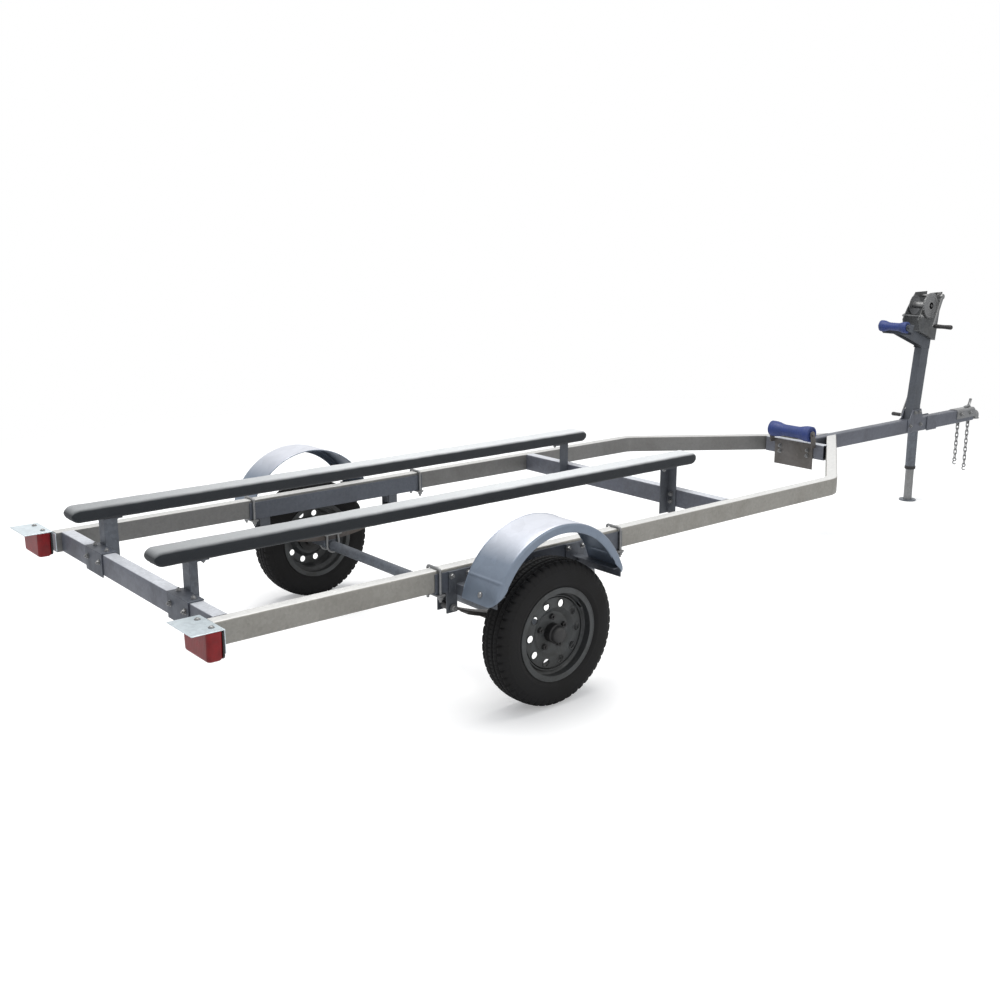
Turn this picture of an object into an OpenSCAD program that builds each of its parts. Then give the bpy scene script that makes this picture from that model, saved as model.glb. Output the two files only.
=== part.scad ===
/* [Overall] */
// Length from the rear edge of the lamp plates to the coupler nose
overall_length = 5500; // [4500:10:6700]
// Width over the outer faces of the two rails
frame_width = 1328; // [1100:1:1600]
// Height of the rail tops above the wheel axis
rail_over_axle = 260; // [250:1:320]

/* [Frame tubes] */
// Height of the rail, crossmember and tongue tubes
tube_h = 76; // [60:1:92]
// Width of the same tubes
tube_w = 50; // [40:1:60]
// Wall of the same tubes
tube_wall = 3; // [2:0.5:6]
// Straight part of each rail, from its rear end to the bend
rail_straight = 3020; // [2600:10:3200]
// Angle by which the rails turn inwards at the bend
bend_angle = 35.4; // [30:0.1:45]
// How far the lamp plates reach behind the rails
lamp_overhang = 104; // [90:1:140]
// From the rail ends to the rear crossmember
rear_member_at = 20; // [10:1:60]
// From the rail ends to the middle crossmember
middle_member_at = 2292; // [2200:1:2450]
// Length of the front crossmember's rear face, between the rails
front_span = 392.3; // [300:0.1:480]

/* [Running gear] */
// From the rail ends to the wheel axis
axle_at = 1180; // [1000:1:1300]
// Outer radius of the tyre
tyre_r = 262; // [220:1:315]
// Width of the tyre
tyre_w = 124; // [100:1:135]
// Radius of the rim flange
rim_r = 167; // [145:1:175]
// Width of the rim between its flange faces
rim_w = 112; // [90:1:120]
// From the outer face of a rail to the middle of its wheel
wheel_out = 128; // [110:1:150]
// Number of round holes in the wheel disc
vent_count = 10; // [6:1:12]
// Radius of those holes
vent_r = 14; // [8:0.5:16]
// Radius of the hub's cap
hub_r = 34; // [28:1:38]
// Radius of the axle tube
axle_r = 22; // [18:1:26]
// Half of the distance between the eyes of a leaf spring
spring_half = 320; // [280:1:340]
// Thickness of one spring leaf
leaf_t = 7; // [5:0.5:8]
// Width of the leaves
leaf_w = 44; // [36:1:46]
// Height of the spring carrier's sides above the rail's underside
carrier_h = 66; // [40:1:72]

/* [Fenders] */
// Gap between the tyre's radius and the fender's outer radius
fender_gap = 40; // [28:1:68]
// Width of the fender
fender_w = 176; // [160:1:200]
// Sheet thickness of the fender
fender_t = 2; // [1.5:0.5:4]
// Depth of the lip on the fender's outer side
fender_lip = 28; // [15:1:45]

/* [Bunks] */
// Length of a bunk
bunk_len = 2440; // [2000:10:2800]
// Width of a bunk
bunk_w = 95; // [80:1:150]
// Thickness of a bunk with its carpet
bunk_t = 54; // [40:1:70]
// Distance of a bunk's middle line from the trailer's
bunk_out = 340; // [280:1:420]
// Height of the bunk tops above the rail tops
bunk_rise = 154; // [130:1:220]
// How far the bunks reach behind the rail ends
bunk_overhang = 46; // [0:1:120]

/* [Winch post and rollers] */
// From the coupler nose back to the foot of the winch post
post_back = 724; // [650:1:780]
// Height of the winch post above the tongue
post_h = 400; // [330:1:480]
// Lean of the winch post towards the coupler
post_lean = 7.3; // [0:0.1:12]
// Length of the keel roller
keel_len = 250; // [200:1:300]
// Radius of the keel roller at its ends
keel_r = 40; // [32:1:44]
// Length of the bow roller
bow_len = 165; // [120:1:200]
// Radius of the bow roller at its ends
bow_r = 31; // [24:1:36]
// Radius of the roller shafts
shaft_r = 8; // [6:0.5:10]
// Pitch radius of the winch gear
gear_r = 72; // [60:1:80]
// Length of the winch handle between its axes
crank_len = 174; // [140:1:200]

/* [Coupler and jack] */
// Radius of the socket for the towing ball
socket_r = 25.7; // [23.5:0.1:26.5]
// From the coupler nose back to the jack
jack_back = 550; // [520:1:640]
// Distance of the jack's axis from the trailer's middle line
jack_out = 86; // [80:1:110]
// Outer radius of the jack tube
jack_r = 28.5; // [26:0.5:32]
// Outer radius of the jack leg
leg_r = 24; // [20:0.5:25]
// Radius of the jack's foot plate
foot_r = 48; // [40:1:54]

/* [Fits] */
// Radial clearance of a shaft in its hole
running = 0.05; // [0.02:0.01:0.1]
// Gap between side faces that turn past each other
side_gap = 1; // [0.5:0.5:3]

/* [Hidden] */
$fn = 64;
eps = 1;

// main places
nose_x = overall_length / 2;
rail_x = -overall_length / 2 + lamp_overhang;
half = frame_width / 2;
rail_mid = half - tube_w / 2;
axle_x = rail_x + axle_at;
axle_z = tyre_r;
rail_top = axle_z + rail_over_axle;
rail_low = rail_top - tube_h;
tongue_side = tube_w / 2;
bend_x = rail_x + rail_straight;
rear_x = rail_x + rear_member_at;
middle_x = rail_x + middle_member_at;
front_x = turn_x(tube_w) + (half - tube_w - front_span / 2) / tan(bend_angle);
wheel_y = half + wheel_out;

// coupler
coupler_wall = 4;
ball_x = nose_x - socket_r - 2 * coupler_wall;
ball_z = rail_top - 48;
tongue_end = ball_x - socket_r - 2 * coupler_wall - 12;

// springs
carrier_wall = 5;
carrier_low = rail_low - carrier_wall;
eye_drop = 58;
carrier_back = 390;
carrier_fwd = 480;
eye_r = 13;
eye_bolt_r = 6.5;
eye_z = carrier_low - eye_drop;
leaf_count = 3;
pad_t = 5;
pack_low = axle_z + axle_r + pad_t;
master_z = pack_low + (leaf_count - 0.5) * leaf_t;
sag = eye_z - master_z;
leaf_R = (spring_half * spring_half + sag * sag) / (2 * sag);

// fender
fender_r = tyre_r + fender_gap;
fender_z = axle_z + 106;
fender_drop = 64;
fender_x = axle_x - 28;
fender_y = wheel_y + 19;
arm_t = 5;
hanger_t = 5;
arm_leg = 38;
arm_lift = 36;

// bunk supports
bunk_low = rail_top + bunk_rise - bunk_t;
angle_leg = 50;
angle_t = 5;

// winch post top and what stands on it
post_x = nose_x - post_back;
post_top_x = post_x + post_h * tan(post_lean);
post_top_z = rail_top + post_h;
plate_t = 4;
winch_half = 45;
gear_at = [-39, 242];
gear_turn = 30.5;
crank_at = gear_at + gear_r * (1 + 14 / 48) * [cos(gear_turn), sin(gear_turn)];
crank_turn = 23.8;
bow_at = [-294, 137];

// keel roller
keel_x = front_x - 28;
keel_z = rail_top + keel_r + 14;

// jack
jack_x = nose_x - jack_back;
pivot_z = rail_top - tube_h / 2;
jack_low = 190;
jack_top = rail_top + 168;
head_z = jack_top - 32;
bracket_t = 6;
pivot_r = 18;
pivot_len = 20;

// ---- helpers ----

// a box given by its lowest and highest corners
module block(lo, hi) {
    translate(lo) cube([hi[0] - lo[0], hi[1] - lo[1], hi[2] - lo[2]]);
}

// a cylinder along Y from y0 to y1, in the plane point [x, z]
module rod_y(at, r, y0, y1) {
    translate([at[0], y1, at[1]]) rotate([90, 0, 0]) cylinder(r = r, h = y1 - y0);
}

// an outline in [x, z] made t thick along Y, from y0
module plate_y(y0, t) {
    translate([0, y0 + t, 0]) rotate([90, 0, 0]) linear_extrude(t) children();
}

// a profile of [radius, distance along Y], turned about an axis along Y
module turned_y(at, y) {
    translate([at[0], y, at[1]]) rotate([-90, 0, 0]) rotate_extrude($fn = 128) children();
}

module both_sides() {
    children();
    mirror([0, 1, 0]) children();
}

// ---- frame ----

// where the line set in by s from a rail's outer face turns, and where it meets y
function turn_x(s) = bend_x - s * tan(bend_angle / 2);
function meet_x(s, y) = turn_x(s) + (half - s - y) / tan(bend_angle);
function inner_y(x) = half - tube_w - (x - turn_x(tube_w)) * tan(bend_angle);

// plan of a bent rail between the depths a and b from its outer face
function rail_plan(a, b, over) = [
    [rail_x - over, half - a], [turn_x(a), half - a], [meet_x(a, tongue_side - over), tongue_side - over],
    [meet_x(b, tongue_side - over), tongue_side - over], [turn_x(b), half - b], [rail_x - over, half - b]];

module rail() {
    difference() {
        translate([0, 0, rail_low]) linear_extrude(tube_h) polygon(rail_plan(0, tube_w, 0));
        translate([0, 0, rail_low + tube_wall]) linear_extrude(tube_h - 2 * tube_wall)
            polygon(rail_plan(tube_wall, tube_w - tube_wall, eps));
    }
}

module left_rail() {
    color("#a9a69c") rail();
}

module right_rail() {
    color("#a9a69c") mirror([0, 1, 0]) rail();
}

// a tube across the frame between the straight rails
module cross_tube(x) {
    inner = half - tube_w;
    difference() {
        block([x, -inner, rail_low], [x + tube_w, inner, rail_top]);
        block([x + tube_wall, -inner - eps, rail_low + tube_wall],
            [x + tube_w - tube_wall, inner + eps, rail_top - tube_wall]);
    }
}

module rear_crossmember() {
    color("#8f9299") cross_tube(rear_x);
}

module middle_crossmember() {
    color("#8f9299") cross_tube(middle_x);
}

function front_plan(a, over) = let (x0 = front_x + a, x1 = front_x + tube_w - a)
    [[x0, -inner_y(x0) - over], [x1, -inner_y(x1) - over], [x1, inner_y(x1) + over], [x0, inner_y(x0) + over]];

module front_crossmember() {
    color("#8f9299") difference() {
        translate([0, 0, rail_low]) linear_extrude(tube_h) polygon(front_plan(0, 0));
        translate([0, 0, rail_low + tube_wall]) linear_extrude(tube_h - 2 * tube_wall)
            polygon(front_plan(tube_wall, eps));
    }
}

module tongue() {
    tongue_x = front_x + tube_w;
    color("#7d828c") difference() {
        block([tongue_x, -tongue_side, rail_low], [tongue_end, tongue_side, rail_top]);
        block([tongue_x - eps, -tongue_side + tube_wall, rail_low + tube_wall],
            [tongue_end + eps, tongue_side - tube_wall, rail_top - tube_wall]);
    }
}

// ---- coupler ----

channel_len = 190;
channel_drop = 52;
skirt_z = 24;

module coupler() {
    outer = socket_r + coupler_wall;
    side = tongue_side + coupler_wall;
    color("#9aa0a8") difference() {
        union() {
            // channel over the tongue
            block([tongue_end - channel_len, -side, rail_top - channel_drop],
                [tongue_end + 10, side, rail_top + coupler_wall]);
            // neck
            block([tongue_end, -outer + 4, ball_z - skirt_z + 4], [ball_x, outer - 4, ball_z + 20]);
            // ball housing
            translate([ball_x, 0, ball_z]) rotate_extrude($fn = 96) intersection() {
                union() {
                    circle(r = outer, $fn = 96);
                    translate([0, -skirt_z]) square([outer, skirt_z]);
                    translate([0, -skirt_z]) square([outer + 4, 5]);
                }
                translate([0, -skirt_z]) square([outer + 5, outer + skirt_z + 5]);
            }
        }
        // the tongue's place
        block([tongue_end - channel_len - eps, -tongue_side, rail_top - channel_drop - eps],
            [tongue_end, tongue_side, rail_top]);
        // the socket
        translate([ball_x, 0, ball_z]) rotate_extrude($fn = 96) intersection() {
            union() {
                circle(r = socket_r, $fn = 96);
                translate([0, -skirt_z - eps]) square([socket_r, skirt_z + eps]);
            }
            translate([0, -skirt_z - eps]) square([socket_r + 1, socket_r + skirt_z + 2]);
        }
    }
}

// latch lever on top of the coupler's channel, with its finger grip
module coupler_latch() {
    base_z = rail_top + coupler_wall;
    color("#8a8f96") {
        plate_y(-9, 18) polygon([[tongue_end - 66, base_z], [tongue_end - 8, base_z],
            [tongue_end - 4, base_z + 16], [tongue_end + 2, base_z + 46], [tongue_end - 10, base_z + 50],
            [tongue_end - 22, base_z + 20], [tongue_end - 66, base_z + 12]]);
    }
}

// ---- safety chains ----

wire = 6;
link_len = 40;
link_wide = 22;
link_gap = 0.5;
ear_t = 8;
ear_hole_r = 7;
ear_drop = 12;
hook_r = 13;
hook_w = 7;

// how far an arc of radius a rises across the half width t
function rise(a, t) = a - sqrt(a * a - t * t);

link_in = link_wide / 2 - wire;
link_pitch = link_len - 2 * wire - 2 * rise(link_in, wire / 2) - link_gap;
first_link = rail_low - ear_drop - ear_hole_r + rise(ear_hole_r, wire / 2) + rise(link_in, ear_t / 2)
    + wire + link_gap - link_len / 2;

// outline of one link, its long side upright
module link_plan(grow) {
    r = link_wide / 2 - grow;
    straight = link_len / 2 - link_wide / 2;
    square([2 * r, 2 * straight], center = true);
    translate([0, straight]) circle(r = r, $fn = 32);
    translate([0, -straight]) circle(r = r, $fn = 32);
}

module chain_link(turn) {
    rotate([0, 0, turn]) rotate([90, 0, 0]) translate([0, 0, -wire / 2]) linear_extrude(wire) difference() {
        link_plan(0);
        link_plan(wire);
    }
}

// an open S hook that hangs in a link, with the inside of its upper eye at 0
module chain_hook(turn) {
    low = 3 * hook_r - 2 * wire;
    rotate([0, 0, turn]) rotate([90, 0, 0]) translate([0, 0, -hook_w / 2]) linear_extrude(hook_w) {
        difference() {
            translate([0, wire - hook_r]) circle(r = hook_r, $fn = 48);
            translate([0, wire - hook_r]) circle(r = hook_r - wire, $fn = 48);
            translate([0, wire - hook_r - 6]) square([hook_r + 2, 5]);
        }
        difference() {
            translate([0, -low + wire]) circle(r = hook_r, $fn = 48);
            translate([0, -low + wire]) circle(r = hook_r - wire, $fn = 48);
            translate([-hook_r - 1, -low + wire]) square([hook_r, 6]);
        }
    }
}

// welded ear under the tongue, with the hole that takes the first link
module chain_ear() {
    low = rail_low - ear_drop;
    translate([0, ear_t / 2, 0]) rotate([90, 0, 0]) linear_extrude(ear_t) difference() {
        translate([-14, low - ear_hole_r - wire]) square([28, ear_drop + ear_hole_r + wire]);
        translate([0, low]) circle(r = ear_hole_r, $fn = 32);
    }
}

// each strand: how far behind the tongue's end it hangs, and how many links it has
chain_back = 0;
chain_links = 1;
chains = [[128, 8], [14, 10]];

module safety_chains() {
    color("#9b9ea2") for (chain = chains) translate([tongue_end - chain[chain_back], 0, 0]) {
        count = chain[chain_links];
        chain_ear();
        for (n = [0 : count - 1]) translate([0, 0, first_link - n * link_pitch]) chain_link(n % 2 == 0 ? 90 : 0);
        last = first_link - (count - 1) * link_pitch - link_len / 2 + wire;
        translate([0, 0, last + rise(link_in, hook_w / 2) + rise(hook_r - wire, wire / 2) + link_gap])
            chain_hook(count % 2 == 0 ? 90 : 0);
    }
}

// ---- winch post ----

module winch_post() {
    color("#7b808a") difference() {
        translate([post_x, 0, rail_top]) rotate([0, post_lean, 0]) difference() {
            block([-tube_h / 2, -tube_w / 2, -30], [tube_h / 2, tube_w / 2, post_h / cos(post_lean)]);
            block([-tube_h / 2 + tube_wall, -tube_w / 2 + tube_wall, -30 - eps],
                [tube_h / 2 - tube_wall, tube_w / 2 - tube_wall, post_h / cos(post_lean) + eps]);
        }
        block([post_x - 150, -60, rail_top - 60], [post_x + 150, 60, rail_top]);
    }
}

base_t = 5;

// two cheek plates that hold the post on the tongue
module post_base() {
    color("#747985") both_sides() plate_y(tongue_side, base_t)
        polygon([[post_x - 74, rail_low + 8], [post_x + 74, rail_low + 8], [post_x + 74, rail_top + 4],
            [post_x + 52, rail_top + 56], [post_x - 34, rail_top + 56], [post_x - 58, rail_top + 8],
            [post_x - 74, rail_top]]);
}

// arm from the post's top up to the bow roller, whose axis lies at half of the arm's height
arm_h = 58;
arm_end_t = 6;
arm_rise = atan2(bow_at[1], -bow_at[0]) - asin(arm_h / 2 / norm(bow_at));
bow_run = sqrt(bow_at[0] * bow_at[0] + bow_at[1] * bow_at[1] - arm_h * arm_h / 4);
arm_run = bow_run - bow_r - 10 - arm_end_t;

// a point of the arm's own frame, s forwards along it and h above its underside, as [x, z]
function arm_point(s, h) = [s * cos(arm_rise) + h * sin(arm_rise), h * cos(arm_rise) - s * sin(arm_rise)];

module bow_arm() {
    color("#7b808a") difference() {
        translate([post_top_x, 0, post_top_z]) rotate([0, arm_rise, 0]) difference() {
            block([-arm_run, -tube_w / 2, -20], [60, tube_w / 2, arm_h]);
            block([-arm_run - eps, -tube_w / 2 + tube_wall, -20 + tube_wall],
                [60 + eps, tube_w / 2 - tube_wall, arm_h - tube_wall]);
            block([-arm_run - eps, -tube_w, -21], [-tube_h / 2 - 8, tube_w, 0]);
        }
        // cut to lie on the leaning post's end and stop in line with its front face
        translate([post_top_x, 0, post_top_z]) rotate([0, post_lean, 0]) {
            block([-2 * tube_h, -60, -100], [2 * tube_h, 60, 0]);
            block([tube_h / 2, -60, -100], [tube_h * 2, 60, 120]);
        }
    }
}

roller_ear = 5;

module bow_bracket() {
    at = [post_top_x + bow_at[0], post_top_z + bow_at[1]];
    ear_y = bow_len / 2 + side_gap;
    color("#7b808a") {
        // plate across the arm's end, with two ears that carry the shaft
        translate([post_top_x, 0, post_top_z]) rotate([0, arm_rise, 0])
            block([-arm_run - arm_end_t, -ear_y - roller_ear, 0], [-arm_run, ear_y + roller_ear, arm_h]);
        both_sides() plate_y(ear_y, roller_ear) difference() {
            union() {
                translate(at) circle(r = 18, $fn = 48);
                translate(at) rotate(-arm_rise) translate([0, -18]) square([bow_run - arm_run, 36]);
            }
            translate(at) circle(r = shaft_r, $fn = 48);
        }
        rod_y(at, shaft_r, -ear_y - roller_ear - 8, ear_y + roller_ear + 8);
    }
}

// roller that is thinner in its middle, as a profile of steps and cones
module spool(at, len, r, waist) {
    flat = len * 0.16;
    difference() {
        translate([at[0], 0, at[1]]) rotate([-90, 0, 0]) rotate_extrude($fn = 96)
            polygon([[0, -len / 2], [r - 3, -len / 2], [r, -len / 2 + 3], [r, -len / 2 + flat],
                [waist, -len / 6], [waist, len / 6], [r, len / 2 - flat], [r, len / 2 - 3],
                [r - 3, len / 2], [0, len / 2]]);
        rod_y(at, shaft_r + running, -len / 2 - eps, len / 2 + eps);
    }
}

module bow_roller() {
    color("#1f47a8") spool([post_top_x + bow_at[0], post_top_z + bow_at[1]], bow_len, bow_r, bow_r - 7);
}

// ---- winch ----

// corners of a winch cheek, from the post's top as [x, z], its foot along the arm
cheek_back = -150;
cheek_front = 30;
cheek = [arm_point(cheek_front, arm_h), arm_point(cheek_back, arm_h), [-143, 167], [-104, 227],
    [-33, 312], [85, 313]];
winch_shaft_r = 7;
crank_shaft_r = 9;

core_r = 19;

module winch_frame() {
    color("#6d727c") translate([post_top_x, 0, post_top_z]) {
        plate_y(winch_half, plate_t) cheek_outline(winch_shaft_r);
        plate_y(-winch_half - plate_t, plate_t) cheek_outline(core_r + 1);
        rotate([0, arm_rise, 0])
            block([cheek_back, -winch_half, arm_h], [cheek_front, winch_half, arm_h + plate_t]);
        rod_y(gear_at, winch_shaft_r, gear_y - 4, winch_half + plate_t + 6);
        for (tie = [[-118, 186], [58, 292]]) rod_y(tie, 6, -winch_half, winch_half);
    }
}

module cheek_outline(hole_r) {
    difference() {
        polygon(cheek);
        translate(gear_at) circle(r = hole_r, $fn = 64);
        translate(crank_at) circle(r = crank_shaft_r + running, $fn = 64);
    }
}

gear_y = -winch_half - plate_t - 12;
gear_w = 8;
gear_teeth = 48;
pinion_teeth = 14;
pinion_r = gear_r * pinion_teeth / gear_teeth;
// half of the play between the rounds of gear and pinion
gear_play = 0.5;

module winch_drum() {
    flange = 3;
    inner = winch_half - side_gap;
    color("#a2a6ab") translate([post_top_x, 0, post_top_z]) difference() {
        union() {
            rod_y(gear_at, core_r, gear_y, inner);
            rod_y(gear_at, 55, -inner, -inner + flange);
            rod_y(gear_at, 55, inner - flange, inner);
            rod_y(gear_at, gear_r - gear_play, gear_y, gear_y + gear_w);
        }
        rod_y(gear_at, winch_shaft_r + running, gear_y - eps, inner + eps);
    }
}

module winch_handle() {
    grip_at = [crank_at[0] - crank_len * sin(crank_turn), crank_at[1] - crank_len * cos(crank_turn)];
    arm_y = gear_y - 14;
    color("#23252a") translate([post_top_x, 0, post_top_z]) {
        rod_y(crank_at, crank_shaft_r, arm_y - 6, winch_half + plate_t + 8);
        rod_y(crank_at, 14, arm_y - 6, arm_y);
        rod_y(crank_at, pinion_r - gear_play, gear_y, gear_y + gear_w);
        translate([crank_at[0], 0, crank_at[1]]) rotate([0, crank_turn, 0])
            block([-9, arm_y - 6, -crank_len - 10], [9, arm_y, -8]);
        rod_y(grip_at, 13, arm_y - 116, arm_y - 8);
        rod_y(grip_at, 6, arm_y - 8, arm_y - 6);
    }
}

// ---- keel roller ----

keel_plate_w = 236;

module keel_bracket() {
    ear_y = keel_len / 2 + side_gap;
    at = [keel_x, keel_z];
    color("#6f7480") {
        // plate on the crossmember's rear face, and a sill that carries the ears
        block([front_x - 5, -keel_plate_w / 2, rail_low - 56], [front_x, keel_plate_w / 2, rail_top - 18]);
        block([front_x - 5, -ear_y - roller_ear, rail_top - 18], [front_x, ear_y + roller_ear, rail_top]);
        both_sides() plate_y(ear_y, roller_ear) difference() {
            union() {
                translate(at) circle(r = 17, $fn = 48);
                polygon([[keel_x - 17, keel_z], [keel_x + 17, keel_z], [front_x, keel_z - 30],
                    [front_x, rail_top - 18], [front_x - 30, rail_top - 18]]);
            }
            translate(at) circle(r = shaft_r, $fn = 48);
        }
        rod_y(at, shaft_r, -ear_y - roller_ear - 8, ear_y + roller_ear + 8);
    }
}

module keel_roller() {
    color("#1f47a8") spool([keel_x, keel_z], keel_len, keel_r, keel_r - 8);
}

// ---- bunks ----

module bunk(side) {
    x0 = rail_x - bunk_overhang;
    block([x0, side * bunk_out - bunk_w / 2, bunk_low],
        [x0 + bunk_len, side * bunk_out + bunk_w / 2, bunk_low + bunk_t]);
}

module left_bunk() {
    color("#3b434e") bunk(1);
}

module right_bunk() {
    color("#3b434e") bunk(-1);
}

// an upright angle iron at x, with its flat leg on a crossmember's face and the other one facing dir
module bunk_post(x, dir, low) {
    y0 = bunk_out - angle_leg / 2;
    block([min(x, x + dir * angle_t), y0, low], [max(x, x + dir * angle_t), y0 + angle_leg, bunk_low]);
    block([min(x, x + dir * angle_leg), y0, low], [max(x, x + dir * angle_leg), y0 + angle_t, bunk_low]);
    // flange under the bunk
    block([min(x, x + dir * 70), y0, bunk_low - angle_t], [max(x, x + dir * 70), y0 + angle_leg, bunk_low]);
}

module rear_bunk_posts() {
    color("#6d7680") both_sides() bunk_post(rear_x + tube_w, 1, rail_low);
}

module front_bunk_posts() {
    color("#6d7680") both_sides() bunk_post(middle_x, -1, rail_low - 32);
}

// folded plates over the rear crossmember: the middle of each, along Y
bracket_y = [-385, 295];
bracket_w = 150;

module bunk_brackets() {
    color("#68727f") for (y = bracket_y) {
        block([rear_x - angle_t, y - bracket_w / 2, rail_low - 6], [rear_x, y + bracket_w / 2, rail_top + angle_t]);
        block([rear_x, y - bracket_w / 2, rail_top], [rear_x + tube_w, y + bracket_w / 2, rail_top + angle_t]);
    }
}

// ---- axle and springs ----

hub_face = 18;
spindle_r = 14;
hub_in = 30;

module axle() {
    end_y = wheel_y - hub_in - side_gap;
    color("#8d9094") {
        rod_y([axle_x, axle_z], axle_r, -end_y, end_y);
        both_sides() rod_y([axle_x, axle_z], spindle_r, end_y - eps, wheel_y + 24);
        // spring pads
        both_sides() block([axle_x - 40, rail_mid - leaf_w / 2, axle_z],
            [axle_x + 40, rail_mid + leaf_w / 2, pack_low]);
    }
}

// half of a leaf's span, by its place in the pack
function leaf_half(n) = n == 0 ? spring_half : spring_half * (0.78 - 0.24 * (n - 1));

// one leaf as an arc in [x, z] about a centre above the axle
module leaf(n) {
    low = leaf_R + (n + 0.5) * leaf_t;
    reach = leaf_half(n);
    intersection() {
        difference() {
            circle(r = low, $fn = 720);
            circle(r = low - leaf_t, $fn = 720);
        }
        translate([-reach, -low - eps]) square([2 * reach, sag + (leaf_count + 1) * leaf_t + 6]);
    }
}

module spring() {
    eyes = [-spring_half, spring_half];
    difference() {
        union() {
            translate([axle_x, 0, master_z + leaf_R]) plate_y(rail_mid - leaf_w / 2, leaf_w)
                for (n = [0 : leaf_count - 1]) leaf(n);
            for (x = eyes) rod_y([axle_x + x, eye_z], eye_r, rail_mid - leaf_w / 2, rail_mid + leaf_w / 2);
        }
        for (x = eyes) rod_y([axle_x + x, eye_z], eye_bolt_r + running, rail_mid - 40, rail_mid + 40);
    }
}

module left_leaf_spring() {
    color("#7f8388") spring();
}

module right_leaf_spring() {
    color("#7f8388") mirror([0, 1, 0]) spring();
}

// paired plates under the carrier at both ends of a spring, with the eye bolts
module spring_hangers() {
    cheek_y = leaf_w / 2 + side_gap;
    color("#8a8d92") both_sides() for (end = [-1, 1]) {
        x = axle_x + end * spring_half;
        for (y = [rail_mid - cheek_y - hanger_t, rail_mid + cheek_y])
            block([x - 22, y, eye_z - 18], [x + 22, y + hanger_t, carrier_low]);
        block([x - 22, rail_mid - cheek_y, carrier_low - hanger_t], [x + 22, rail_mid + cheek_y, carrier_low]);
        rod_y([x, eye_z], eye_bolt_r, rail_mid - cheek_y - 14, rail_mid + cheek_y + 14);
    }
}

// tie plate over the spring, and two U bolts down round the axle
module axle_ties() {
    rod_r = 5;
    bend_r = axle_r + rod_r + 0.3;
    // the plate clears the spring, which curves up by this much under the plate's ends
    curve = (bend_r + 14) * (bend_r + 14) / (2 * leaf_R - leaf_t);
    top = master_z + leaf_t / 2 + curve + 0.2;
    color("#9a9da2") both_sides() translate([axle_x, rail_mid, 0]) {
        difference() {
            block([-bend_r - 14, -leaf_w / 2 - 14, top], [bend_r + 14, leaf_w / 2 + 14, top + 8]);
            for (x = [-bend_r, bend_r], y = [-leaf_w / 2 - 6, leaf_w / 2 + 6])
                translate([x, y, top - eps]) cylinder(r = rod_r + 0.3, h = 10);
        }
        for (y = [-leaf_w / 2 - 6, leaf_w / 2 + 6]) translate([0, y, axle_z]) {
            for (x = [-bend_r, bend_r]) translate([x, 0, 0]) cylinder(r = rod_r, h = top + 22 - axle_z);
            rotate([-90, 0, 0]) rotate_extrude(angle = 180, $fn = 64) translate([bend_r, 0])
                circle(r = rod_r, $fn = 32);
        }
    }
}

// channel that holds a rail from below and carries its spring
module carrier() {
    x0 = axle_x - carrier_back;
    x1 = axle_x + carrier_fwd;
    difference() {
        block([x0, rail_mid - tube_w / 2 - carrier_wall, carrier_low],
            [x1, half + carrier_wall, rail_low + carrier_h]);
        block([x0 - eps, rail_mid - tube_w / 2, rail_low], [x1 + eps, half, rail_top + eps]);
    }
}

module left_axle_carrier() {
    color("#94958f") carrier();
}

module right_axle_carrier() {
    color("#94958f") mirror([0, 1, 0]) carrier();
}

// square U bolts round rail and carrier: how far each is from the axle
bolt_places = [-carrier_back + 16, carrier_fwd - 16];
bolt_rod = 10;

module carrier_bolts() {
    gap = 0.5;
    y0 = rail_mid - tube_w / 2 - carrier_wall - gap;
    y1 = half + carrier_wall + gap;
    z0 = carrier_low - 26;
    z1 = rail_top + gap;
    color("#85888c") both_sides() for (place = bolt_places) {
        x = axle_x + place - bolt_rod / 2;
        translate([x, 0, 0]) rotate([90, 0, 90]) linear_extrude(bolt_rod)
            polygon([[y0 - bolt_rod, z0], [y0, z0], [y0, z1], [y1, z1], [y1, z0], [y1 + bolt_rod, z0],
                [y1 + bolt_rod, z1 + bolt_rod], [y0 - bolt_rod, z1 + bolt_rod]]);
        // clamp plate under the carrier
        difference() {
            block([x - 6, y0 - bolt_rod - 8, carrier_low - 7], [x + bolt_rod + 6, y1 + bolt_rod + 8, carrier_low]);
            block([x - 0.3, y0 - bolt_rod - 0.3, carrier_low - 8], [x + bolt_rod + 0.3, y0 + 0.3, carrier_low + 1]);
            block([x - 0.3, y1 - 0.3, carrier_low - 8], [x + bolt_rod + 0.3, y1 + bolt_rod + 0.3, carrier_low + 1]);
        }
    }
}

// ---- fenders ----

// sector of a ring in [x, z], cut off level at drop above the arch's centre
module arch(r0, r1) {
    intersection() {
        difference() {
            circle(r = r1, $fn = 360);
            circle(r = r0, $fn = 360);
        }
        translate([-r1 - 1, fender_drop]) square([2 * r1 + 2, r1]);
    }
}

module fender() {
    y0 = fender_y - fender_w / 2;
    translate([fender_x, 0, fender_z]) {
        plate_y(y0, fender_w) arch(fender_r - fender_t, fender_r);
        plate_y(y0 + fender_w - fender_t, fender_t) arch(fender_r - fender_lip, fender_r - fender_t / 2);
    }
}

module left_fender() {
    color("#b9bec6") fender();
}

module right_fender() {
    color("#b9bec6") mirror([0, 1, 0]) fender();
}

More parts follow.
